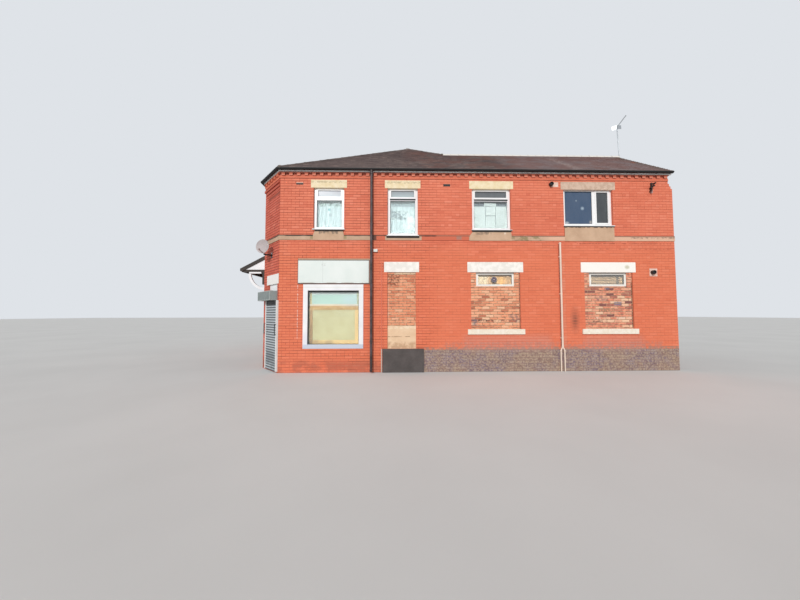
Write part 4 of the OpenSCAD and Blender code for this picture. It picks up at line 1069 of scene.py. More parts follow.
# Fallen mortar, chalky smears and a lilac bloom on the infill
INFILL_DASHES = (
    Mark("#4a2f30", (5.86, 6.95), (1.52, 1.575), 0.85, 0.006, 62),
    Mark("#6b5563", (7.05, 7.38), (1.5, 1.74), 0.5, 0.03, 80),
    Mark("#737987", (5.86, 6.05), (1.4, 1.64), 0.5, 0.03, 70),
    Mark("#4a3226", (3.29, 3.66), (2.64, 2.98), 0.75, 0.02, 46),
    Mark("#f0d7b6", (3.5, 4.16), (2.955, 3.04), 0.8, 0.01),
    Mark("#f1dcc4", (3.294, 3.335), (1.45, 2.9), 0.6, 0.01, 120),
    Mark("#e9d0a8", (3.294, 4.16), (1.4, 1.56), 0.5, 0.02, 52),
    Mark("#5d3b2e", (7.355, 7.382), (1.29, 3.03), 0.75, 0.004),
    Mark("#e8845c", (3.294, 4.16), (1.4, 2.95), 0.3, 0.02),
)
# Second-hand bricks under thin paint: no two alike, with gappy joints
OLD_BRICK = LaidUnits(
    "mottled_infill_brick", "#ffb389", "#ec9471", 78, 0.75, 5, 0.2, (0.75, 0.95), 1.4,
    light="#fdd0ac", dark="#b4684f", spread=0.8, seed=11.0, fallen=0.8, marks=INFILL_DASHES,
)
VARIED_BRICK = LaidUnits(
    "uneven_infill_brick", "#ffaa86", "#cf7763", 85, 0.85, 6, 0.22, (0.75, 0.95), 1.4,
    light="#fdd3b0", dark="#80504f", spread=0.9, seed=17.0, fallen=0.7,
    marks=(
        Mark("#6f7690", (10.34, 10.58), (2.01, 2.11), 0.85, 0.02),
        Mark("#6f7690", (10.05, 10.2), (2.5, 2.58), 0.7, 0.02),
        Mark("#8b7f63", (9.85, 10.35), (1.83, 1.92), 0.75, 0.015, 80),
        Mark("#8a5f6a", (9.75, 10.15), (2.15, 2.32), 0.6, 0.03, 120),
        Mark("#f6d5bf", (9.52, 9.9), (1.57, 1.66), 0.85, 0.012, 110),
        Mark("#f6d5bf", (10.4, 10.88), (1.59, 1.66), 0.75, 0.012, 110),
        Mark("#3a2b2c", (9.66, 9.96), (1.485, 1.535), 0.85, 0.008, 60),
        Mark("#3d2b22", (10.893, 10.916), (1.31, 2.72), 0.9, 0.004),
        Mark("#3d2b22", (9.402, 9.42), (1.31, 2.6), 0.6, 0.004, 160),
    ),
)
INFILL_MORTAR = Finish(
    "cream_infill_mortar", "#dab592", "#6f4b40", 72, 0.8, 6, 0.22, (0.85, 0.97), 1.8, marks=INFILL_DASHES[:4],
)
# Zinc on sheet steel: grey, cloudy and half dull
GALVANISED = Finish(
    "galvanised_steel_sheet", "#8e9795", "#7b8582", 90, 0.7, 10, 0.08, (0.38, 0.6), 0.2, "#c7cccd", 3,
    metallic=0.35,
    # The box's end by the arris is lighter: painted light
    marks=(Mark("#a4adab", (-0.24, 0.1), cover=0.8, soft=0.003, y=(-0.3, 0.058)),),
)
LATHS = RolledLaths(
    "galvanised_steel_laths", "#868d91", "#767d81", 120, 0.6, 8, 0.08, (0.4, 0.6), 0.2, metallic=0.25,
    marks=(
        # Near black under the shutter box: painted shadow of the box
        Mark("#16191b", z=(2.03, 2.2), cover=0.9, soft=0.02),
        Mark("#4f585d", z=(-1.0, 0.62), cover=0.55, soft=0.1, gaps_mm=420),
    ),
)
# Powder coat: even, with a soft sheen
WHITE_STEEL = Finish(
    "white_powder_coat", "#eeeeec", "#d8d8d6", 300, 0.6, 3, 0.06, (0.35, 0.55), 0.2, "#8d8a84", 4,
)
# Split slate: dark, smooth and slightly glossy
SLATE = LaidUnits(
    "welsh_slate", "#3a3c42", "#2f3036", 300, 0.7, 9, 0.15, (0.45, 0.7), 0.8, light="#b9babc",
    dark="#26272b", seed=5.0,
)
# Enamel on steel and moulded plastic: black with small highlights
BLACK_STEEL = Finish(
    "black_enamel_on_steel", "#17171a", "#232326", 120, 0.6, 3, 0.1, (0.3, 0.55), 0.3, "#5a5650", 3,
)
FLUE = Finish(
    "black_flue_and_mortar", "#141416", "#232326", 120, 0.6, 3, 0.1, (0.3, 0.55), 0.3,
    marks=(
        Mark("#b98a76", soft=0.001, y=(-0.009, 1.0)),
        Mark("#f2cfbd", (8.44, 8.66), (5.7, 5.9), 0.85, 0.002, y=(-0.009, 1.0)),
        Mark("#f3ebe4", (8.56, 8.64), (5.74, 5.8), 0.8, 0.01, y=(-0.009, 1.0)),
        Mark("#f3d3c4", (11.4, 11.8), (2.9, 3.2), 0.9, 0.001, y=(-0.009, 1.0)),
        Mark("#c98f7c", (11.4, 11.8), (2.9, 3.2), 0.6, 0.001, 90, y=(-0.009, 1.0)),
    ),
)
# Paint on cast iron: mauve where it has faded, rusty on its edges
BROWN_IRON = Finish(
    "dark_paint_on_cast_iron", "#31241f", "#6b5a60", 200, 0.6, 5, 0.2, (0.35, 0.7), 0.7, "#7a4a35",
    5, (1, 1, 3),
)
CREAM_PIPE = Finish("cream_waste_plastic", "#efdccb", "#d8c6b8", 500, 0.6, 4, 0.08, (0.3, 0.5), 0.2)
# Black fittings, some painted over with the wall
FITTING = Finish(
    "painted_and_bare_fittings", "#231e1d", "#332d2b", 90, 0.7, 4, 0.15, (0.45, 0.7), 0.3, "#7b746d", 3,
    marks=(
        Mark("#e9e5de", (2.86, 2.99), (3.6, 3.8)),
        Mark("#b9a7a3", (11.56, 11.66), (5.5, 5.62), 0.85, 0.5, y=(-1, 1), oval=True),
        Mark("#dd7558", (3.09, 3.13), (0.7, 3.4)),
        Mark("#cdbfb4", (3.09, 3.13), (-1.0, 0.7)),
        Mark("#ecb69d", (0.4, 5.3), (5.792, 5.9), soft=0.002),
    ),
)
# Baked enamel on pressed steel: grey and dull, rusty at the rim
DISH_PAINT = Finish(
    "grey_dish_enamel", "#c2b6b5", "#a89e9e", 160, 0.7, 4, 0.08, (0.35, 0.55), 0.2, "#6b5148", 4,
    marks=(Mark("#1c1a1a", z=(3.0, 3.652), soft=0.001),),
)
# Drawn tube, weathered to a soft grey
ALUMINIUM = Finish("bare_aluminium", "#b4b8bb", "#999da0", 90, 0.6, 3, 0.1, (0.32, 0.5), 0.1, metallic=0.9)
FAN_PLASTIC = Finish(
    "grey_fan_plastic", "#84818b", "#6c6872", 60, 0.6, 3, 0.1, (0.4, 0.6), 0.2, "#a3a4ad", 4,
    marks=(
        Mark("#54202c", (6.532, 6.642), (2.758, 2.867), 0.85, 0.2, y=(-1, 1), oval=True),
        Mark("#b5b8c4", (6.563, 6.611), (2.789, 2.836), 0.9, 0.2, y=(-1, 1), oval=True),
    ),
)
# Floors: concrete smoothed with a float, and bare sawn boards
SLAB = Finish("floated_concrete", "#8f8c86", "#7a7771", 900, 0.7, 9, 0.15, (0.8, 0.95), 1.0)
BOARDS = Finish(
    "bare_floor_boards", "#a5835d", "#86684a", 300, 0.7, 4, 0.25, (0.6, 0.8), 0.8, stretch=(1, 30, 1),
)
# Printed card in plain fields of colour: satin, faded by the sun
BOARD = Finish(
    "printed_display_board", "#aea47a", "#a39666", 260, 0.6, 6, 0.06, (0.5, 0.7), 0.2,
    marks=(
        Mark("#c8a366", soft=0.003, y=(-1.0, 0.112)),
        Mark("#90673b", (0.85, 1.005), cover=0.85, soft=0.004, y=(-1.0, 0.112)),
        Mark("#634b25", (0.96, 1.008), (0.95, 1.42), 0.6, 0.02, y=(-1.0, 0.112)),
        Mark("#a37838", z=(1.885, 2.01), soft=0.004),
        Mark("#bf9a5d", (0.7, 2.6), (1.885, 2.01), 0.5, gaps_mm=120),
        Mark("#bea993", z=(2.01, 2.062), soft=0.004),
        Mark("#9ab1a4", z=(2.062, 3.0), soft=0.004),
        Mark("#a1adb3", (1.9, 2.6), (2.062, 2.35), 0.6, 0.12),
        Mark("#b3b5b2", (0.7, 2.6), (2.35, 3.0), 0.8, 0.02),
        Mark("#af9864", (0.9, 0.975), (2.062, 3.0), 0.9, 0.004),
        Mark("#9c9973", (2.345, 2.42), (2.062, 3.0), 0.9, 0.004),
        Mark("#533b1c", (0.85, 1.62), (-1.0, 0.965), 0.8, 0.05, 260, y=(-1.0, 0.112)),
    ),
)
# Coated sheet: white satin, with dirt on its edges
SIGN = Finish(
    "white_coated_sign_sheet", "#e4eae6", "#d7e1dc", 500, 0.6, 4, 0.03, (0.3, 0.5), 0.15, "#a8a69c", 5,
    marks=(
        Mark("#b4bab6", (1.328, 1.337), cover=0.6, soft=0.002),
        Mark("#c6cac6", z=(3.372, 3.4), cover=0.6, soft=0.002),
        Mark("#857d76", (0.5, 0.596), cover=0.85, soft=0.004),
        Mark("#b8b2a8", z=(2.6, 2.722), cover=0.7, soft=0.004, gaps_mm=300),
        Mark("#a9a7a2", (1.3, 1.42), (3.22, 3.28), 0.5, 0.02, 40),
    ),
)
# Things behind the glass
NET = Finish(
    "washed_net_curtain", "#bfcbcb", "#aebdbc", 140, 0.6, 2, 0.06, (0.85, 0.95), 0.3, stretch=(1, 1, 8),
    marks=(
        Mark("#6f8076", (1.0, 2.0), (5.13, 5.3), 0.8, 0.02, 110),
        Mark("#8f999c", (3.42, 4.15), (5.131, 5.222), 0.9, 0.01),
        Mark("#2f8484", (1.41, 1.52), (4.97, 5.08), 0.75, 0.5, y=(-1, 1), oval=True),
        Mark("#7b8486", (1.42, 1.56), (4.78, 4.94), 0.55, 0.5, y=(-1, 1), oval=True),
        Mark("#f6faf7", (3.85, 4.15), (4.3, 4.95), 0.6, 0.1, 210),
        Mark("#a3b2ae", (3.7, 4.2), (4.25, 4.62), 0.5, 0.04, 120),
        Mark("#4f5a5a", (3.42, 3.92), (4.72, 5.0), 0.65, 0.02, 64),
    ),
)
TAN_CURTAIN = Finish(
    "faded_tan_curtain", "#c0946a", "#ac845a", 110, 0.6, 2, 0.06, (0.85, 0.95), 0.3, stretch=(1, 1, 6),
    marks=(
        Mark("#d5bf9f", (6.05, 6.42), cover=0.7, soft=0.05),
        Mark("#d99c48", (6.72, 6.95), cover=0.5, soft=0.08),
    ),
)
CURTAIN_WIRE = Finish("plastic_coated_curtain_wire", "#e5e4df", "#cfcdc6", 60, 0.5, 3, 0.05, (0.3, 0.5), 0.1)
INNER_BOARD = LaidUnits(
    "bare_window_boards", "#bac0bc", "#abb1ac", 240, 0.7, 4, 0.08, (0.7, 0.9), 0.3,
    light="#d8dcd8", dark="#60666a", spread=1.0,
)
BLIND_SLAT = LaidUnits(
    "dusty_blind_slats", "#b8946e", "#a07d58", 150, 0.7, 4, 0.12, (0.6, 0.85), 0.2,
    light="#cdae88", dark="#4a3b28",
    marks=(Mark("#3f372b", (10.5, 10.57), cover=0.8, soft=0.008),),
)
PALE_MORTAR = Finish("fresh_pale_mortar", "#e9e4da", "#cfc8bb", 90, 0.7, 6, 0.12, (0.85, 0.95), 0.8)
BOX_PLATE = Finish(
    "bright_box_plate", "#c9d0cd", "#aab3b0", 90, 0.6, 6, 0.08, (0.4, 0.6), 0.2, "#e2e6e4", 2, metallic=0.35,
)
# Black glazing gaskets; the same finish makes the dark strips of painted shadow by the opening lights and the
# shop window
GASKET = Finish("black_gasket_and_painted_shadow", "#141516", "#222425", 80, 0.5, 3, 0.1, (0.5, 0.8), 0.2)
LOUVRE = Finish("pressed_air_brick", "#2a1b17", "#1d1412", 60, 0.6, 3, 0.15, (0.6, 0.85), 0.3, "#5a3d33", 2)

# Which finish the CAD nodes have
DRESSED = (
    (FRONT_CORE, "front_wall"),
    (CORNER_CORE, "corner_wall"),
    (STREET_CORE, "street_wall"),
    (PARTY_CORE, "party_wall"),
    (YARD_CORE, "yard_wall gable_wall"),
    (REAR_CORE, "wing_rear_wall"),
    (SLAB, "ground_floor"),
    (BOARDS, "upper_floor"),
    (ROOF_BED, "front_roof_slope corner_roof_slope street_roof_slope yard_roof_slope wing_rear_roof_slope"),
    (MORTAR, "ridge_tiles"),
    (WHITE_BOARD, "eaves_board"),
    (BLACK_GUTTER, "gutter"),
    (DENTIL_BRICK, "dentil_course"),
    (CORNER_BRICK, "corner_corbels"),
    (STRING, "string_course"),
    (LINTEL, "upper_lintels"),
    (CREAM_STONE, "ground_lintels blocked_window_sills"),
    (SILL_PLASTIC, "window_sills"),
    (BUFF_RENDER, "window_aprons"),
    (WHITE_PLASTIC, "upper_windows_front rear_windows"),
    (WHITE_GLOSS, "shop_window_frames corner_fanlight canopy_boards canopy_brackets"),
    (GLASS, "front_glass rear_glass"),
    (BOARD, "display_board"),
    (SIGN, "sign_board"),
    (FASCIA_TIMBER, "sign_backing"),
    (INFILL_MORTAR, "door_infill blocked_windows_infill"),
    (PANEL_RENDER, "door_panel"),
    (CONCRETE, "door_step"),
    (VENT_PLASTIC, "vent_windows"),
    (FAN_PLASTIC, "window_fan"),
    (GALVANISED, "shutter_box"),
    (WHITE_STEEL, "shutter_guides"),
    (LATHS, "shutter_curtain"),
    (BLACK_STEEL, "shutter_handles"),
    (SLATE, "canopy_roof"),
    (DARK_TIMBER, "canopy_beam"),
    (BROWN_IRON, "downpipe"),
    (CREAM_PIPE, "waste_pipe"),
    (FITTING, "wall_fittings"),
    (FLUE, "flue_terminals"),
    (DISH_PAINT, "satellite_dish"),
    (ALUMINIUM, "tv_aerial"),
)
NODE_FINISHES = {node: finish for finish, nodes in DRESSED for node in nodes.split()}


# Camera, floor and light


@dataclass(frozen=True)
class ViewPoint:
    """The photograph's camera, solved from the brick courses and the verticals.

    Attributes:
        eye: where it stands.
        focal_px, width_px: focal length and width of the picture in pixels.
        sensor_mm: width of the sensor.
        pitch, yaw, roll: its turns in radians: up, towards +X and round its own axis.
    """

    eye: tuple = (3.4523, -9.139, 1.7589)
    focal_px: float = 300.0
    width_px: float = 800.0
    sensor_mm: float = 36.0
    pitch: float = math.atan(300.0 / 6507.9)
    yaw: float = math.atan(300.0 / 12493.5)
    roll: float = -0.00202

    def make(self) -> Piece:
        """The camera object: its axes are the picture's right, up and the way back."""
        cp, sp, cy, sy = math.cos(self.pitch), math.sin(self.pitch), math.cos(self.yaw), math.sin(self.yaw)
        forward, level = Vector((sy * cp, cy * cp, sp)), Vector((cy, -sy, 0.0))
        over = level.cross(forward)
        right = math.cos(self.roll) * level + math.sin(self.roll) * over
        up = math.cos(self.roll) * over - math.sin(self.roll) * level
        data = bpy.data.cameras.new("street_camera")
        data.sensor_fit, data.sensor_width = "HORIZONTAL", self.sensor_mm
        data.lens = self.sensor_mm * self.focal_px / self.width_px
        data.clip_end = 500.0
        made = placed("street_camera", data)
        made.matrix_world = Matrix.Translation(self.eye) @ Matrix((right, up, -forward)).transposed().to_4x4()
        bpy.context.scene.camera = made
        return made


@dataclass(frozen=True)
class Studio:
    """Pale floor, pale surroundings and soft light.

    Attributes:
        floor_half, floor_drop: half the floor's side, and how far it lies under the building.
        floor_colour, floor_patch, sky: colours of the floor, its patches and what stands behind.
        key, key_soft: strength of the main lamp and its width in degrees.
        key_from: where it stands, as azimuth left of the view and height, in degrees.
        ambient: strength of the surroundings as light.
    """

    floor_half: float = 150.0
    floor_drop: float = 0.002
    floor_colour: str = "#dcdcdb"
    floor_patch: str = "#d7d7d6"
    sky: str = "#dfe3e8"
    key: float = 2.15
    key_soft: float = 7.0
    key_from: tuple = (15.0, 27.0)
    ambient: float = 0.42

    def make(self) -> None:
        """Builds the floor, the world and the lamp."""
        self.floor()
        self.surround()
        lamp = bpy.data.lights.new("key_lamp", "SUN")
        lamp.energy, lamp.angle = self.key, math.radians(self.key_soft)
        left, high = (math.radians(a) for a in self.key_from)
        made = placed("key_lamp", lamp)
        towards = Vector((-math.sin(left) * math.cos(high), -math.cos(left) * math.cos(high), math.sin(high)))
        made.rotation_mode = "QUATERNION"
        made.rotation_quaternion = towards.to_track_quat("Z", "Y")

    def floor(self) -> None:
        """A square of floor round the origin, under the building."""
        h, z = self.floor_half, -self.floor_drop
        mesh = bpy.data.meshes.new("floor")
        mesh.from_pydata([(-h, -h, z), (h, -h, z), (h, h, z), (-h, h, z)], [], [(0, 1, 2, 3)])
        recipe = Recipe("pale_studio_floor")
        patches = {0: recipe.blotches(3000), UNDER: self.floor_colour, OVER: self.floor_patch}
        mesh.materials.append(recipe.done(recipe.add("Mix", patches), 0.9))
        floor = placed("floor", mesh)

    def surround(self) -> None:
        """World: pale where seen, mirrored or seen through, and a plain level as light."""
        world = bpy.data.worlds.new("pale_surround")
        bpy.context.scene.world = world
        world.use_nodes = True
        tree = world.node_tree
        tree.nodes.clear()
        rays = add_node(tree, "LightPath").node.outputs
        seen = rays["Is Camera Ray"]
        for name in ("Is Glossy Ray", "Is Transmission Ray"):
            seen = add_node(tree, "Math", {0: seen, 1: rays[name]}, operation="MAXIMUM")
        light = add_node(tree, "Background", {"Color": "#ffffff", "Strength": self.ambient})
        shown = add_node(tree, "Background", {"Color": self.sky, "Strength": 1.0})
        add_node(tree, "OutputWorld", {"Surface": add_node(tree, "MixShader", {0: seen, 1: light, 2: shown})})


# Laid bricks


class Bond(Enum):
    """How the bricks of a face are laid: which course in so many is a row of headers, 0 for none."""

    STRETCHER = 0
    GARDEN_WALL = 4


def carve(rects: Array, holes: Iterable[Sequence[float]], least: float = 0.018) -> Array:
    """Rectangles with rectangular holes cut from them.

    A cut rectangle leaves its part to the left of the hole, its part to the right, and what stays below
    and above the hole between them.

    Args:
        rects: n by 4 of u0, u1, z0, z1.
        holes: u0, u1, z0, z1 of each hole.
        least: smallest side of a rest that is kept.
    Returns:
        The rests, m by 4.
    """
    for a, b, c, d in holes:
        u0, u1, z0, z1 = rects.T
        hit = (u0 < b) & (u1 > a) & (z0 < d) & (z1 > c)
        u0, u1, z0, z1 = rects[hit].T
        low, high = np.maximum(u0, a), np.minimum(u1, b)
        rests = [
            np.stack([u0, np.minimum(u1, a), z0, z1], 1),
            np.stack([np.maximum(u0, b), u1, z0, z1], 1),
            np.stack([low, high, z0, np.minimum(z1, c)], 1),
            np.stack([low, high, np.maximum(z0, d), z1], 1),
        ]
        rests = np.concatenate(rests)
        rests = rests[(rests[:, 1] - rests[:, 0] > least) & (rests[:, 3] - rests[:, 2] > least)]
        rects = np.concatenate([rects[~hit], rests])
    return rects


@dataclass
class BrickFace:
    """The bricks of one wall face, laid over its CAD core.

    Attributes:
        name: piece name.
        face: which wall.
        span: u0, u1, z0, z1 of the laid field.
        holes: rectangles without bricks.
        bond: how the courses alternate.
        proud: how far a brick stands out of its joint.
        joint: width of the upright joints and of the beds.
        finish, slot: what it is made of.
        at: distance of the core's face out from the wall plane.
        seed: of the shades.
        taper: how far a brick's face is drawn in at its ends, and at its top and foot.
        unevenness: how far the shades of single bricks differ.
        bedded: how far a brick reaches back into the core.
        shift: how far single bricks stray along their course.
        shortest, lowest: length and height of the smallest cut brick.
    """

    name: str
    face: Face
    span: tuple
    holes: list
    finish: Finish
    slot: str
    bond: Bond = Bond.GARDEN_WALL
    proud: float = 0.004
    joint: tuple = (0.005, 0.012)
    at: float = 0.0
    seed: int = 1
    taper: tuple = (0.0015, 0.004)
    unevenness: float = 0.20
    bedded: float = 0.003
    shift: float = 0.0015
    shortest: float = 0.020
    lowest: float = 0.015

    def rows(self, rng: np.random.Generator) -> Array:
        """Rectangles of all whole bricks over the span.

        Course i starts half a brick further on where i is odd. A header course has bricks of half the
        length, shifted by a quarter.

        Args:
            rng: for the small shifts.
        Returns:
            n by 4 of u0, u1, z0, z1.
        """
        u0, u1, z0, z1 = self.span
        first = math.floor(z0 / SITE.course)
        courses = np.arange(first, math.ceil(z1 / SITE.course))
        header = (courses % self.bond.value == 2) if self.bond.value else np.zeros(len(courses), bool)
        parts = []
        for rows, pitch in ((courses[~header], SITE.brick), (courses[header], SITE.brick / 2)):
            number = np.arange(-1, math.ceil((u1 - u0) / pitch) + 1)
            stagger = np.where(rows % 2 == 1, 0.5, 0.0) * pitch
            left = u0 + number[None] * pitch + stagger[:, None]
            left, low = np.broadcast_arrays(left, rows[:, None] * SITE.course)
            left = left + rng.normal(0, self.shift, left.shape)
            side, bed = self.joint
            flat = np.stack([left, left + pitch - side, low + bed / 2, low + SITE.course - bed / 2], -1)
            parts.append(flat.reshape(-1, 4))
        rects = np.concatenate(parts)
        rects[:, :2] = rects[:, :2].clip(u0, u1)
        rects[:, 2:] = rects[:, 2:].clip(z0, z1)
        long, high = rects[:, 1] - rects[:, 0] > self.shortest, rects[:, 3] - rects[:, 2] > self.lowest
        return rects[long & high]

    def lay(self, rects: Array, wall: WallFace, rng: np.random.Generator) -> Piece:
        """Gives each rectangle its depth and shade and makes the piece.

        Args:
            rects: n by 4 of u0, u1, z0, z1.
            wall: the plane that carries them.
            rng: for depths and shades.
        Returns:
            The piece.
        """
        front = self.at + self.proud * rng.uniform(0.75, 1.1, len(rects))
        tone = np.clip(rng.normal(0.5, self.unevenness, len(rects)), 0, 1)
        points, quads = slabs(wall, rects, self.at - self.bedded, front, self.taper)
        bag = Shells().add(points, quads, np.repeat(tone, BLOCK_POINTS))
        return bag.piece(self.name, self.finish, self.slot)

    def build(self) -> Piece:
        """Lays the bricks round the holes and makes the piece."""
        rng = np.random.default_rng(self.seed)
        return self.lay(carve(self.rows(rng), self.holes), self.face.value, rng)


@dataclass
class Masonry:
    """All laid bricks of the outer walls.

    Rectangles are left, right, foot and head on their face.

    Attributes:
        sign, step, flues, air_brick: sign backing, the step's two ends, flue plates, an air brick's size.
        sill_bearing, sill_set: reach of the ground sills past their windows, and depth of a plain sill.
        street_windows, canopy: the street side's upper windows as left edge and width, and its canopy.
        back_w, yard_window: width of a back window, and its distance from the wing on the yard side.
        fanlight, shutter_box: what stands over the canted face's door.
        corbel, corbel_rise, grow: start, distance from the end, foot and head of the lowest corbel, and how
            far each next one lies higher and reaches further.
        low, far, high: limits beyond every wall.
    """

    site: Survey = field(default_factory=Survey)
    sign: tuple = (0.570, 2.800, 2.672, 3.438)
    step: tuple = (3.140, 4.388)
    flues: tuple = ((8.404, 8.654, 5.730, 5.880), (11.470, 11.720, 2.9125, 3.1575))
    air_brick: tuple = (0.215, 0.072)
    sill_bearing: float = 0.112
    sill_set: float = 0.030
    street_windows: tuple = ((1.019, 0.936), (4.219, 1.214))
    canopy: tuple = (0.040, 3.640, 2.750, 3.730)
    back_w: float = 1.214
    yard_window: float = 1.300
    fanlight: tuple = (0.980, 2.690, 2.995)
    shutter_box: tuple = (0.070, 1.145, 2.160, 2.490)
    corbel: tuple = (0.012, 0.300, 5.473, 5.545)
    corbel_rise: float = 0.112
    grow: float = 0.100
    low: float = -1.0
    far: float = 14.0
    high: float = 7.0

    @property
    def band(self) -> tuple:
        """The string course, which no brick crosses."""
        return (self.low, self.far, self.site.string_z, self.site.string_top)

    @property
    def gable_steps(self) -> list:
        """What the stepped edge of the gable leaves out, a course at a time."""
        s = self.site
        return [
            (s.front_l - s.gable_step * (i + 1) / 3, self.far, s.gable_step_z + s.course * i, self.high)
            for i in range(3)
        ]

    def patch_holes(self) -> list:
        """The rendered patches under the raised sills, course by course as they draw in."""
        s, overlap = self.site, 0.001
        holes = []
        for (x, w, sill), foot, head in zip((s.upper[i] for i in s.raised), s.patch_foot, s.patch_head):
            low, high = s.string_top, sill - s.sill_t
            for z in np.arange(low, high, s.course):
                share = min(1.0, (z + s.course / 2 - low) / (high - low))
                left = x - foot[0] + share * (foot[0] + head[0])
                right = x + w + foot[1] - share * (foot[1] + head[1])
                holes.append((left, right, z - overlap, z + s.course))
            holes.append((x, x + w, high, sill))
        return holes

    def front_holes(self) -> list:
        """Everything on the long face that bricks stop at."""
        s = self.site
        holes = [self.band, self.sign, (*self.step, self.low, s.door[2])]
        for i, (x, w, sill) in enumerate(s.upper):
            b, head = s.upper_bearing, s.upper_head
            holes.append((x, x + w, sill if i in s.raised else s.string_top, head))
            holes.append((x - b, x + w + b, head, head + s.upper_lintel_h))
        holes += [*self.patch_holes(), s.shop, s.door]
        for x0, x1 in [s.door[:2], *((x, x + s.blocked_w) for x in s.blocked)]:
            b = s.ground_bearing
            holes.append((x0 - b, x1 + b, s.ground_head, s.ground_head + s.ground_lintel_h))
        for x in s.blocked:
            b = self.sill_bearing
            holes.append((x, x + s.blocked_w, s.blocked_sill, s.ground_head))
            holes.append((x - b, x + s.blocked_w + b, s.blocked_sill - s.blocked_sill_h, s.blocked_sill))
        w, h = self.air_brick
        return [*holes, *((x, x + w, z, z + h) for x, z in s.air_bricks), *self.flues, *self.gable_steps]

    def window_holes(self, x: float, w: float, upper: bool) -> list:
        """A plain window's opening and the lintel over it.

        Args:
            x, w: left edge and width.
            upper: True on the upper floor.
        Returns:
            Two rectangles.
        """
        s = self.site
        if upper:
            foot, head, lintel, bearing = s.string_top, s.upper_head, s.upper_lintel_h, s.upper_bearing
        else:
            foot, head, lintel, bearing = s.blocked_sill, s.ground_head, s.ground_lintel_h, s.ground_bearing
        return [(x, x + w, foot - self.sill_set, head), (x - bearing, x + w + bearing, head, head + lintel)]

    def street_holes(self) -> list:
        """Everything on the street side that bricks stop at."""
        start = self.site.cant_depth
        ground = (self.site.shop, self.canopy)
        holes = [self.band, *((start + u0, start + u1, z0, z1) for u0, u1, z0, z1 in ground)]
        for x, w in self.street_windows:
            holes += self.window_holes(start + x, w, True)
        return holes

    def back_holes(self, x: float) -> list:
        """One plain window on each storey of a back wall, at a left edge of x."""
        return self.window_holes(x, self.back_w, True) + self.window_holes(x, self.back_w, False)

    def corner_holes(self) -> list:
        """Everything on the canted face that bricks stop at."""
        s = self.site
        holes = [self.band, s.corner_door, (self.low, *self.fanlight), self.shutter_box]
        start, short, foot, head = self.corbel
        for i in range(3):
            end, rise = s.cant_l - short + self.grow * i, self.corbel_rise * i
            holes.append((start, end, foot + rise, head + rise))
        return holes

    def build(self) -> list[Piece]:
        """Lays every face.

        Returns:
            The pieces.
        """
        s = self.site
        clear, yard_clear = 0.002, 0.006
        street, top, neck = s.cant_depth, s.eave_z + 0.005, s.neck_z
        rear_x = (s.yard_x + s.front_l - s.gable_step - self.back_w) / 2
        front_field = (clear, s.front_l, 0, neck)
        corner_field = (clear, s.cant_l - clear, 0, neck)
        street_field = (street + clear, s.main_d, 0, neck)
        yard_field = (s.wing_d + yard_clear, s.main_d, 0, top)
        rear_field = (s.yard_x + yard_clear, s.front_l, 0, top)
        gable_field = (clear, s.wing_d - clear, 0, s.gable_step_z)
        painted = [
            ("front_bricks", Face.FRONT, front_field, self.front_holes(), FRONT_BRICK, 0.004),
            ("corner_bricks", Face.CORNER, corner_field, self.corner_holes(), CORNER_BRICK, 0.006),
            ("street_bricks", Face.STREET, street_field, self.street_holes(), FRONT_BRICK, 0.004),
        ]
        bare = [
            ("yard_bricks", Face.YARD, yard_field, self.back_holes(s.wing_d + self.yard_window)),
            ("rear_bricks", Face.REAR, rear_field, [*self.back_holes(rear_x), *self.gable_steps]),
            ("gable_bricks", Face.GABLE, gable_field, []),
        ]
        pieces = [
            BrickFace(name, face, span, holes, finish, "painted_brick", proud=proud, seed=seed).build()
            for seed, (name, face, span, holes, finish, proud) in enumerate(painted, 1)
        ]
        for seed, row in enumerate(bare, 4):
            pieces.append(BrickFace(*row, BARE_BRICK, "party_brick", seed=seed).build())
        return [*pieces, self.gable_top(), *self.infills()]

    def gable_top(self) -> Piece:
        """Bricks of the gable above its step, each course cut to the rake of the roof."""
        s = self.site
        rng = np.random.default_rng(7)
        under_tiles = 0.060
        wall = WallFace((s.front_l - s.gable_step, 0.0), (0.0, 1.0), (1.0, 0.0))
        span = (0.0, s.wing_d, s.gable_step_z + 3 * s.course, s.wing_ridge_z)
        face = BrickFace("gable_top_bricks", Face.GABLE, span, [], BARE_BRICK, "party_brick")
        rects = face.rows(rng)
        rise = rects[:, 3] - (s.eave_z - under_tiles)
        reach = np.maximum(rise / math.tan(s.pitch) - s.eave_out, 0.002)
        rects[:, 0] = np.maximum(rects[:, 0], reach)
        rects[:, 1] = np.minimum(rects[:, 1], s.wing_d - reach)
        return face.lay(rects[rects[:, 1] - rects[:, 0] > face.shortest], wall, rng)

    def infills(self) -> list[Piece]:
        """Rough bricks in the two blocked windows and painted ones in the blocked door."""
        s = self.site
        width, height, low = s.vent
        gap = 0.004
        fields = []
        for i, (x, finish) in enumerate(zip(s.blocked, (OLD_BRICK, VARIED_BRICK))):
            side = (s.blocked_w - width) / 2
            hole = [(x + side, x + side + width, low, low + height)]
            span = (x + gap, x + s.blocked_w - gap, s.blocked_sill, s.ground_head)
            fields.append((f"blocked_window_bricks_{i + 1}", span, hole, finish, 20 + i))
        x0, x1, _, head = s.door
        fields.append(("blocked_door_bricks", (x0 + gap, x1 - gap, s.door_panel_z, head), [], OLD_BRICK, 22))
        return [
            BrickFace(
                name, Face.FRONT, span, holes, finish, "old_brick", Bond.STRETCHER, proud=0.007,
                joint=(0.012, 0.014), at=-s.recess, seed=seed, taper=(0.003, 0.004), unevenness=0.28,
            ).build()
            for name, span, holes, finish, seed in fields
        ]


# Roof


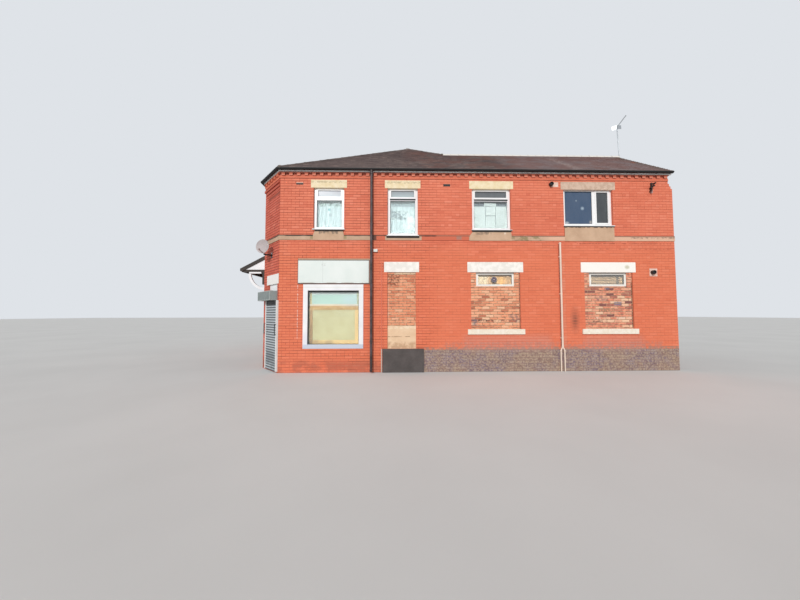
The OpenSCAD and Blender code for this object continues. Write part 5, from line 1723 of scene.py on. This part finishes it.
@dataclass
class TiledSlope:
    """One roof slope covered with plain tiles.

    Attributes:
        name: piece name.
        outline: corners of the slope's top, the first two on the eave.
        gauge: height of a course along the slope.
        width: width of a tile with its gap.
        lift: height of a tile's tail and of its head above the bed.
        finish, slot, seed: what it is made of, and the seed of shades and shifts.
        overhang: how far the lowest course reaches past the eave.
        gap: clear space between two tiles of a course.
        least: width of the narrowest cut tile.
        thin: how far a tile's underside lies below the bed, and above it past the eave.
    """

    name: str
    outline: Array
    gauge: float = 0.100
    width: float = 0.165
    lift: tuple = (0.015, 0.003)
    finish: Finish = ROOF_TILE
    slot: str = "roof_tiles"
    seed: int = 30
    overhang: float = 0.030
    gap: float = 0.003
    least: float = 0.020
    thin: float = 0.002

    def axes(self) -> tuple[Array, Array, Array]:
        """Unit directions along the eave, up the slope and out of it."""
        along = self.outline[1] - self.outline[0]
        along = along / np.linalg.norm(along)
        square = self.outline[-1] - self.outline[0]
        upslope = square - (square @ along) * along
        upslope /= np.linalg.norm(upslope)
        normal = np.cross(along, upslope)
        return along, upslope, -normal if normal[2] < 0 else normal

    @staticmethod
    def limits(flat: Array, v: Array) -> tuple[Array, Array]:
        """Where an outline starts and ends at some heights.

        Args:
            flat: k by 2 corners, along the eave and up the slope.
            v: n heights up the slope.
        Returns:
            Its leftmost and its rightmost place at each height.
        """
        p, q = flat, np.roll(flat, -1, axis=0)
        rise = q[:, 1] - p[:, 1]
        keep = np.abs(rise) > 1e-6
        p, q, rise = p[keep], q[keep], rise[keep]
        share = (v[:, None] - p[None, :, 1]) / rise[None]
        inside = (share > -1e-6) & (share < 1 + 1e-6)
        u = p[None, :, 0] + share * (q[:, 0] - p[:, 0])[None]
        return np.where(inside, u, np.inf).min(1), np.where(inside, u, -np.inf).max(1)

    def build(self) -> Piece:
        """Lays the tiles: a tile is a thin wedge from its tail to its head, cut at hips and valleys."""
        rng = np.random.default_rng(self.seed)
        start = self.outline[0]
        along, upslope, normal = self.axes()
        flat = np.stack([(self.outline - start) @ along, (self.outline - start) @ upslope], 1)
        top, hair = flat[:, 1].max(), 1e-5
        rows = np.arange(0, math.ceil(top / self.gauge))
        low, high = rows * self.gauge, np.minimum((rows + 1) * self.gauge, top) - hair
        number = np.arange(-1, math.ceil((flat[:, 0].max() - flat[:, 0].min()) / self.width) + 1)
        edge = flat[:, 0].min() + number[None] * self.width + (rows % 2)[:, None] * self.width / 2
        edge = edge + rng.normal(0, 0.0015, edge.shape)
        near, far = [], []
        for v in (low + hair, high):
            left, right = (side[:, None] for side in self.limits(flat, v))
            near.append(edge.clip(left, right))
            far.append((edge + self.width - self.gap).clip(left, right))
        keep = np.maximum(far[0] - near[0], far[1] - near[1]) > self.least
        tail = np.broadcast_to(np.where(rows == 0, -self.overhang, low)[:, None], edge.shape)[keep]
        head = np.broadcast_to(high[:, None], edge.shape)[keep]
        n = int(keep.sum())
        u = np.stack([near[0][keep], far[0][keep], far[1][keep], near[1][keep]], 1)
        v = np.stack([tail, tail, head, head], 1)
        lift = np.concatenate([self.lift[0] + rng.normal(0, 0.0012, (n, 2)), np.full((n, 2), self.lift[1])], 1)
        under = np.full((n, 4), -self.thin)
        under[tail < 0, :2] = self.thin
        u, v, h = np.concatenate([u, u], 1), np.concatenate([v, v], 1), np.concatenate([under, lift], 1)
        points = start + u[..., None] * along + v[..., None] * upslope + h[..., None] * normal
        quads = BLOCK_SIDES[:, ::-1] if np.cross(along, upslope) @ normal < 0 else BLOCK_SIDES
        tone = np.repeat(np.clip(rng.normal(0.5, 0.17, n), 0, 1), BLOCK_POINTS)
        bag = Shells().add(points.reshape(-1, 3), copies(quads, BLOCK_POINTS, n), tone)
        return bag.piece(self.name, self.finish, self.slot)


@dataclass
class Roof:
    """Tiles of the five slopes and the cappings of ridges and hips.

    Attributes:
        capping_l, capping_t: length and thickness of a capping.
        bedding: its inside's height above the mortar, and its angle off each bed.
        gap: clear space at each of its ends.
        draw: where its end starts to draw in, where it is drawn in, and by how much.
        sides: faces across it.
    """

    site: Survey = field(default_factory=Survey)
    capping_l: float = 0.305
    capping_t: float = 0.012
    bedding: tuple = (0.004, 0.04)
    gap: float = 0.004
    draw: tuple = (0.045, 0.050, -0.004)
    sides: int = 12

    def build(self) -> list[Piece]:
        """Covers every slope and lays the cappings."""
        s = self.site
        out, e = s.eave_out, s.eave_z
        front_corner = np.array([-out * math.tan(s.turn / 2), -out, e])
        street_corner = np.array([-s.cant - out, s.cant_depth - out * math.tan(math.pi / 4 - s.turn / 2), e])
        right_eave = np.array([s.verge_x, -out, e])
        wing_end = np.array([s.verge_x, s.wing_d / 2, s.wing_ridge_z])
        valley = np.array([s.yard_x + out, s.wing_d + out, e])
        yard_end = np.array([s.yard_x + out, s.main_d, e])
        street_end = np.array([-s.cant - out, s.main_d, e])
        ridge_end = np.array([s.apex_x, s.main_d, s.ridge_z])
        rear_eave = np.array([s.verge_x, s.wing_d + out, e])
        slopes = [
            TiledSlope("front_roof_tiles", np.array([front_corner, right_eave, wing_end, s.hip_foot, s.apex])),
            TiledSlope("corner_roof_tiles", np.array([street_corner, front_corner, s.apex]), seed=31),
            TiledSlope("street_roof_tiles", np.array([street_end, street_corner, s.apex, ridge_end]), seed=32),
            TiledSlope("yard_roof_tiles", np.array([valley, yard_end, ridge_end, s.apex, s.hip_foot]), seed=33),
            TiledSlope("rear_roof_tiles", np.array([rear_eave, valley, s.hip_foot, wing_end]), seed=34),
        ]
        made = [slope.build() for slope in slopes]
        pitch_tan = math.tan(s.pitch)
        street_tan = (s.ridge_z - e) / (s.apex_x + s.cant + out)
        corner_tan = (s.ridge_z - e) / (out - s.apex[0] * CANT_OUT[0] - s.apex[1] * CANT_OUT[1])
        normals = {
            "front": (0, -pitch_tan, 1), "rear": (0, pitch_tan, 1), "yard": (pitch_tan, 0, 1),
            "street": (-street_tan, 0, 1), "corner": (corner_tan * CANT_OUT[0], corner_tan * CANT_OUT[1], 1),
        }
        lines = [
            (s.hip_foot, wing_end + [s.capping_end_out, 0, 0], "rear", "front", 1.25),
            (s.apex, ridge_end, "street", "yard", 0.45),
            (front_corner, s.apex, "corner", "front", 0.35),
            (street_corner, s.apex, "street", "corner", 0.35),
            (s.hip_foot, s.apex, "front", "yard", 0.40),
        ]
        bag = Shells()
        rng = np.random.default_rng(40)
        for a, b, left, right, tone in lines:
            self.cappings(bag, (a, b), [np.array(normals[side], float) for side in (left, right)], tone, rng)
        made.append(bag.piece("ridge_and_hip_tiles", RIDGE_TILE, "roof_tiles", smooth=35))
        return made

    def bed_angle(self, fall: float) -> float:
        """Where a capping's circle meets a slope beside it.

        The circle of radius r, with its centre a drop below the line, cuts the slope's line at the
        distance sqrt(r2 - (drop cos a)2) - drop sin a from it.

        Args:
            fall: the angle a at which the slope falls away.
        Returns:
            The angle at the lowered centre.
        """
        r, drop = self.site.ridge_r, self.site.ridge_drop
        reach = math.sqrt(r**2 - (drop * math.cos(fall)) ** 2) - drop * math.sin(fall)
        return math.atan2(reach * math.sin(fall) + drop, reach * math.cos(fall))

    def cappings(
        self, bag: Shells, ends: tuple[Array, Array], slopes: list[Array], tone: float, rng: np.random.Generator
    ) -> None:
        """Half-round tiles end to end along a line.

        Each is an arc of the capping's circle, from the slope on its left to the slope on its right,
        carried along the line; its tail end draws in by a third of its thickness under the next tile.

        Args:
            bag: where the shells go.
            ends: start and end of the line.
            slopes: upward normals of the slopes on its left and on its right.
            tone: mean shade.
            rng: for the shades and small shifts.
        """
        a, b = ends
        length = float(np.linalg.norm(b - a))
        along = (b - a) / length
        across = np.cross([0.0, 0.0, 1.0], along)
        across /= np.linalg.norm(across)
        over = np.cross(along, across)
        falls = [turn * np.cross(along, normal) for turn, normal in zip((-1.0, 1.0), slopes)]
        low, high = (self.bed_angle(math.atan2(f @ over, f @ across)) for f in falls)
        if high < low:
            high += 2 * math.pi
        n = max(1, round(length / self.capping_l))
        step = length / n
        hollow, bite = self.bedding
        angle = np.linspace(low + bite, high - bite, self.sides + 1)
        start = np.arange(n) * step + self.gap
        end = start + step - 2 * self.gap
        shade = np.clip(tone + rng.normal(0, 0.12, n), 0, 1)
        lift = rng.normal(0, 0.0015, n)
        arc = across * np.cos(angle)[:, None] + over * np.sin(angle)[:, None]
        plain, thin, less = self.draw
        loops = []
        for where, outer in ((start, 0.0), (start + plain, 0.0), (start + thin, less), (end, less)):
            centre = a - self.site.ridge_drop * over + where[:, None, None] * along
            inside, outside = (
                centre + (self.site.ridge_r + thick + lift)[:, None, None] * arc[None]
                for thick in (hollow, self.capping_t + outer)
            )
            loops.append(np.concatenate([outside, inside[:, ::-1]], 1))
        k = 2 * (self.sides + 1)
        quads = grid_quads(4, k, wrap=True)[:, ::-1]
        caps = [np.arange(k)[None], np.arange(k)[None, ::-1] + 3 * k]
        faces = [copies(batch, 4 * k, n) for batch in (quads, *caps)]
        bag.add(np.stack(loops, 1).reshape(-1, 3), faces, np.repeat(shade, 4 * k))


# Round and behind the glass


@dataclass
class Curtain:
    """A curtain that hangs in folds from a wire stretched between the jambs.

    A point at share s of the width and t of the drop lies at x0 + s (x1 - x0) across and at
    top - t (top - foot) in height. It swings in depth with the sine of so many turns of s, which drift
    sideways and deepen with t.

    Attributes:
        name: piece name; its wire is named after it.
        x, z: left and right edge, foot and top.
        jambs: the opening's own left and right edge, where the wire is fixed.
        y: depth of the wire.
        folds, depth: number of folds and how far they swing.
        drift: sideways drift of the folds from top to foot, in folds.
    """

    name: str
    x: tuple
    z: tuple
    jambs: tuple
    y: float
    folds: int
    depth: float
    finish: Finish
    drift: float = 0.6

    def build(self) -> list[Piece]:
        wire_name = f"{self.name}_wire"
        foot, top = self.z
        path = np.stack([np.linspace(*self.jambs, 9), np.full(9, self.y), np.full(9, top)], 1)
        wire = Shells().add(*tube(path, 0.003, 8)).piece(wire_name, CURTAIN_WIRE, "white_frame", smooth=40)
        columns, rows = 14 * self.folds + 1, 25
        s, t = np.meshgrid(np.linspace(0, 1, columns), np.linspace(0, 1, rows))
        phase = 2 * math.pi * (self.folds * s + self.drift * t * np.sin(3.1 * s + 0.4))
        swing = (0.45 + 0.55 * t) * (np.sin(phase) + 0.35 * np.sin(2.3 * phase + 1.0))
        across = self.x[0] + s * (self.x[1] - self.x[0])
        points = np.stack([across, self.y + self.depth * swing, top - t * (top - foot)], -1)
        bag = Shells().add(points, grid_quads(rows, columns)[:, ::-1])
        cloth = bag.piece(self.name, self.finish, "white_frame", smooth=60)
        return [wire, cloth]


@dataclass
class WindowDressing:
    """Curtains, boards, a blind, latches and gaskets of the long face's windows.

    Names that end in y are depths behind the wall face, and those in bar or head are widths of frame bars.

    Attributes:
        mullion: left and right edge of the fourth window's mullion, from the window's left.
        shop_bars: widths at the shop window's sides, foot and head.
        strips, boards, sheet: left, right, foot and head, then a strip's depth or a board's shade. The strips
            are dark bars of painted shadow, and the sheet is a dark backing of painted shade.
        stays: x, z and lean of the stay handles.
        slat: depth, height and rise of a blind slat's crowned section.
        cords: places of the blind's cords.
    """

    site: Survey = field(default_factory=Survey)
    cloth_y: float = 0.188
    vent_cloth_y: float = 0.130
    glass_y: float = 0.098
    shop_glass_y: float = 0.046
    vent_glass_y: float = 0.070
    bar: float = 0.080
    light_bar: float = 0.112
    light_head: float = 0.054
    fixed_head: float = 0.022
    vent_bar: float = 0.064
    mullion: tuple = (0.950, 1.090)
    shop_bars: tuple = (0.136, 0.126, 0.185)
    strips: tuple = (
        (3.365, 4.168, 5.300, 5.348, 0.0745), (6.005, 7.069, 5.300, 5.350, 0.0745),
        (0.878, 2.420, 2.428, 2.470, 0.045), (0.878, 0.900, 0.845, 2.430, 0.045),
    )
    stays: tuple = ((3.779, 5.565, 0.020), (6.573, 5.560, 0.006), (1.487, 5.560, 0.010), (10.255, 5.05, 0.0))
    boards: tuple = (
        (6.010, 6.378, 4.400, 5.148, 0.50), (6.343, 6.727, 5.155, 5.263, 0.55),
        (6.386, 6.703, 4.856, 5.150, 0.62),
        (6.386, 6.703, 4.400, 4.846, 0.50), (6.711, 7.125, 4.400, 5.152, 0.50),
    )
    sheet: tuple = (5.923, 7.133, 4.360, 5.648)
    slats: int = 8
    slat_pitch: float = 0.049
    slat_foot: float = 2.634
    slat: tuple = (0.022, 0.043, 0.004)
    cords: tuple = (0.16, 0.61, 1.05)

    def panes(self) -> list:
        """Clear openings of the front panes: x0, x1, z0, z1 and the depth of the glass."""
        s, bar, light, y = self.site, self.bar, self.light_bar, self.glass_y
        transom, head = s.upper_head - s.toplight, s.upper_head - self.light_head
        holes = []
        for x, w, sill in s.upper[:3]:
            holes.append((x + bar, x + w - bar, sill + bar, transom, y))
            holes.append((x + light, x + w - light, transom + light, head, y))
        x, w, sill = s.upper[3]
        holes.append((x + bar, x + self.mullion[0], sill + bar, s.upper_head - self.fixed_head, y))
        holes.append((x + self.mullion[1], x + w - light, sill + light, head, y))
        width, height, low = s.vent
        for x in s.blocked:
            left, b = x + (s.blocked_w - width) / 2, self.vent_bar
            holes.append((left + b, left + width - b, low + b, low + height - b, self.vent_glass_y))
        return holes

    @staticmethod
    def rim(bag: Shells, hole: tuple, width: float, thick: float) -> None:
        """Adds four strips round a pane, just in front of its glass.

        Args:
            bag: where they go.
            hole: x0, x1, z0, z1 and the depth of the glass.
            width, thick: of a strip.
        """
        x0, x1, z0, z1, y = hole
        rects = np.array([
            [x0, x1, z0, z0 + width], [x0, x1, z1 - width, z1],
            [x0, x0 + width, z0 + width, z1 - width], [x1 - width, x1, z0 + width, z1 - width],
        ])
        bag.add(*slabs(Face.FRONT.value, rects, -y, thick - y, (0.001, 0.001)))

    def gaskets(self) -> Piece:
        """Glazing gaskets; dark strips of painted shadow under the opening lights; and dark strips along the
        shop window's head and left side, part gasket and part painted shadow.
        """
        bag = Shells()
        for hole in self.panes():
            self.rim(bag, hole, 0.007, 0.006)
        x0, x1, z0, z1 = self.site.shop
        side, foot, head = self.shop_bars
        self.rim(bag, (x0 + side, x1 - side, z0 + foot, z1 - head, self.shop_glass_y), 0.014, 0.010)
        # Dark strips where shadow falls: painted shadow
        strips = np.array(self.strips)
        depth = -strips[:, 4]
        bag.add(*slabs(Face.FRONT.value, strips[:, :4], depth - 0.002, depth + 0.0015, (0.001, 0.001)))
        return bag.piece("glazing_gaskets_and_painted_shadow", GASKET, "black_steel")

    def latches(self) -> Piece:
        """Stay handles behind the opening lights: a turned base and a lever each."""
        bag = Shells()
        base = [[0.0, 0.0], [0.017, 0.001], [0.015, 0.012], [0.0, 0.018]]
        for x, z, lean in self.stays:
            lever = np.array([[x - lean, 0.156, z - 0.048], [x, 0.162, z], [x + lean, 0.156, z + 0.048]])
            bag.add(*tube(lever, [0.009, 0.012, 0.009], 10))
            bag.add(*turned(base, (x, 0.145, z), (0, 1, 0), 12))
        return bag.piece("window_latches", WHITE_PLASTIC, "white_frame", smooth=50)

    def boarding(self) -> Piece:
        """Pale boards behind the third window, with a dark sheet behind them that is painted shade of the room.
        """
        boards = np.array(self.boards)
        shades = np.repeat(boards[:, 4], BLOCK_POINTS)
        bag = Shells().add(*slabs(Face.FRONT.value, boards[:, :4], -0.166, -0.152, (0.003, 0.003)), shades)
        # The dark sheet, at tone 0: painted shade
        bag.add(*slabs(Face.FRONT.value, np.array([self.sheet]), -0.184, -0.172, (0.002, 0.002)), 0.0)
        return bag.piece("boarded_window_sheets", INNER_BOARD, "white_board")

    def blind(self) -> Piece:
        """Slatted blind behind the second small window: crowned slats drawn across, sagging unevenly.

        A slat's section leans: its depth and height run in step, and its middle rises with a cosine.
        """
        rng = np.random.default_rng(50)
        n, y = self.slats, self.vent_cloth_y
        width, _, low = self.site.vent
        x = self.site.blocked[1] + (self.site.blocked_w - width) / 2
        deep, high, rise = self.slat
        arc = np.linspace(-0.5, 0.5, 5)
        top = np.stack([deep * arc, high * arc + rise * np.cos(math.pi * arc)], 1)
        profile = np.concatenate([top, top[::-1] - [0.0, 0.0015]])[::-1]
        places = np.stack([np.zeros(n), np.full(n, y), self.slat_foot + self.slat_pitch * np.arange(n)], 1)
        places[:, 2] += rng.normal(0, 0.002, n)
        # The top slat is darker: painted shade under the small window's head
        shade = np.clip(0.55 + rng.normal(0, 0.15, n) - 0.45 * (np.arange(n) > n - 2), 0, 1)
        slats = drawn(profile, x + 0.003, x + width - 0.003, places)
        bag = Shells().add(*slats, np.repeat(shade, 2 * len(profile)))
        for at in self.cords:
            bag.add(*tube([[x + at, y, low + 0.010], [x + at, y, low + 0.420]], 0.002, 6), 0.1)
        return bag.piece("slatted_blind", BLIND_SLAT, "white_frame", smooth=30)

    def build(self) -> list[Piece]:
        """Makes everything behind and round the front glass."""
        s, clear = self.site, 0.004
        made = [self.gaskets(), self.latches(), self.boarding(), self.blind()]
        for i, folds in ((0, 7), (1, 6)):
            x, w, sill = s.upper[i]
            across, drop = (x + clear, x + w - clear), (sill + 0.035, s.upper_head - 0.022)
            net = Curtain(f"net_curtain_{i + 1}", across, drop, (x, x + w), self.cloth_y, folds, 0.005, NET)
            made += net.build()
        width, _, low = s.vent
        x = s.blocked[0] + (s.blocked_w - width) / 2
        across, drop, jambs = (x + clear, x + width - clear), (low + 0.012, low + 0.408), (x, x + width)
        tan = Curtain("tan_curtain", across, drop, jambs, self.vent_cloth_y, 9, 0.005, TAN_CURTAIN, 0.3)
        return made + tan.build()


# Small parts outside


@dataclass
class SmallParts:
    """Gutter brackets, mortar work, the shutter box's plates, canopy slates and air brick bars.

    Attributes:
        gutter_y, gutter_z, gutter_r: centre line and radius of the gutter's bowl.
        strap, strap_pitch: half the width of a bracket, and the distance between two.
        sign: left, right and top of the sign's backing.
        wing_dabs: places of the dabs on the wing's ridge, and their size.
        hip_dabs, upper_dabs: share of the way to the apex and size, from the eave and from the wing's ridge.
        canopy_y, canopy_out, canopy_z: the canopy's ends, its reach from the wall and its heights.
        box, box_t: the shutter box's face, and thickness of its plates.
    """

    site: Survey = field(default_factory=Survey)
    gutter_y: float = -0.115
    gutter_z: float = 6.205
    gutter_r: float = 0.055
    strap: float = 0.012
    strap_pitch: float = 0.940
    sign: tuple = (0.578, 2.792, 3.432)
    wing_dabs: tuple = (6.43, 7.46, 9.49, 0.035)
    hip_dabs: tuple = ((0.012, 0.055), (0.30, 0.028), (0.985, 0.060))
    upper_dabs: tuple = ((0.02, 0.055), (0.12, 0.040), (0.25, 0.030))
    canopy_y: tuple = (0.040, 3.640)
    canopy_out: tuple = (0.808, 0.002)
    canopy_z: tuple = (3.2765, 3.709)
    box: tuple = (0.070, 1.145, 2.181, 2.467)
    box_t: float = 0.014

    def brackets(self) -> Piece:
        """Straps that hold the gutter: half rings just outside its bowl, and a stop end at the verge."""
        angle = np.linspace(math.pi, 2 * math.pi, 13)
        ring = np.stack([np.cos(angle), np.sin(angle)], 1)
        r, y, z = self.gutter_r, self.gutter_y, self.gutter_z
        strap = np.concatenate([ring * (r + 0.004), ring[::-1] * (r - 0.001)])
        bag = Shells()
        front = [[x, y, z] for x in np.arange(0.45, 12.2, self.strap_pitch)]
        bag.add(*drawn(strap, -self.strap, self.strap, front))
        stop = np.concatenate([ring * (r - 0.001), [[0.0, 0.0]]])
        bag.add(*drawn(stop, 0.0, 0.004, [[self.site.verge_x - 0.004, y, z]]))
        street = [[y - self.site.cant, along, z] for along in np.arange(1.5, 8.5, self.strap_pitch)]
        bag.add(*drawn(strap, -self.strap, self.strap, street, axis=1))
        return bag.piece("gutter_brackets", BLACK_GUTTER, "black_gutter", smooth=40)

    def sign_fillet(self) -> Piece:
        """Mortar fillet over the sign's backing, drawn along it."""
        x0, x1, z = self.sign
        fillet = np.array([[-0.034, z], [0.0, z], [0.0, z + 0.020], [-0.030, z + 0.004]])
        bag = Shells().add(*drawn(fillet, x0, x1, np.zeros((1, 3))))
        return bag.piece("sign_fillet", STRING, "buff_render")

    def dabs(self) -> Piece:
        """Dabs of fresh mortar on ridges and hips: flat drops turned round their own upright axis."""
        s = self.site
        crown = s.ridge_r - s.ridge_drop + 0.008
        *places, size = self.wing_dabs
        spots = [(x, s.wing_d / 2, s.wing_ridge_z + crown, size) for x in places]
        foot = np.array([-s.eave_out * math.tan(s.turn / 2), -s.eave_out, s.eave_z])
        for start, dabs in ((foot, self.hip_dabs), (s.hip_foot, self.upper_dabs)):
            spots += [(*(start + share * (s.apex - start) + [0, 0, crown]), size) for share, size in dabs]
        drop = np.array([[0.0, -0.25], [0.75, -0.2], [1.0, 0.0], [0.7, 0.3], [0.0, 0.42]])
        bag = Shells()
        for x, y, z, size in spots:
            bag.add(*turned(drop * size, (x, y, z), (0, 0, 1), 12))
        return bag.piece("ridge_mortar_dabs", PALE_MORTAR, "ridge_mortar", smooth=60)

    def verge(self) -> Piece:
        """Fillet of mortar up the canopy's near verge."""
        y = self.site.cant_depth + self.canopy_y[0] + 0.003
        start, end = np.array([-1.632, y, 3.287]), np.array([-0.840, y, 3.712])
        line = start + np.linspace(0, 1, 9)[:, None] * (end - start)
        bag = Shells().add(*tube(line, 0.010, 8))
        return bag.piece("canopy_verge_fillet", PALE_MORTAR, "white_timber", smooth=60)

    def canopy(self) -> Piece:
        """Slates on the street canopy."""
        y0, y1 = (self.site.cant_depth + y for y in self.canopy_y)
        low, high = (-self.site.cant - out for out in self.canopy_out)
        foot, head = self.canopy_z
        outline = np.array([[low, y1, foot], [low, y0, foot], [high, y0, head], [high, y1, head]])
        slope = TiledSlope(
            "canopy_slates", outline, 0.150, 0.255, (0.010, 0.002), SLATE, "canopy_slate", 35, 0.0
        )
        return slope.build()

    def plates(self) -> Piece:
        """End plates and the folded lip of the roller shutter's box."""
        u0, u1, z0, z1 = self.box
        t, lip = self.box_t, 0.001
        rects = np.array([
            [u0, u0 + t, z0, z1], [u1 - t, u1, z0, z1],
            [u0 + t, u1 - t, z1 - lip - t, z1 - lip], [u0 + t, u1 - t, z0 + lip, z0 + 0.017],
        ])
        points, quads = slabs(Face.CORNER.value, rects, 0.20, 0.239, (0.001, 0.001))
        return Shells().add(points, quads).piece("shutter_box_plates", BOX_PLATE, "galvanised_steel")

    def grilles(self) -> Piece:
        """Upright bars of the two air bricks."""
        bars = [
            [x + step, x + step + 0.010, z + 0.008, z + 0.050]
            for x, z in self.site.air_bricks for step in 0.010 + 0.0225 * np.arange(9)
        ]
        points, quads = slabs(Face.FRONT.value, np.array(bars), 0.004, 0.010, (0.001, 0.001))
        return Shells().add(points, quads).piece("air_brick_bars", LOUVRE, "wall_metal")

    def build(self) -> list[Piece]:
        """Makes the small outside parts."""
        parts = (self.brackets, self.sign_fillet, self.dabs, self.verge, self.canopy, self.plates, self.grilles)
        return [make() for make in parts]


# Putting it together


def dress_nodes() -> None:
    """Gives every CAD node its finish."""
    for name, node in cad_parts.items():
        finish = NODE_FINISHES[name]
        made = finish.material()
        if node.data.materials:
            for i in range(len(node.data.materials)):
                node.data.materials[i] = made
        else:
            node.data.materials.append(made)
        LOG.info("%s: %s", name, finish.name)


def main() -> None:
    """Builds the camera, the studio and every sub-assembly in order."""
    logging.basicConfig(level=logging.INFO, format="%(name)s: %(message)s")
    ViewPoint().make()
    Studio().make()
    dress_nodes()
    for part in (Masonry(), Roof(), WindowDressing(), SmallParts()):
        made = part.build()
        LOG.info("%s: %d pieces", type(part).__name__, len(made))
    bpy.context.scene.view_settings.view_transform = "Standard"


if __name__ == "__main__":
    main()
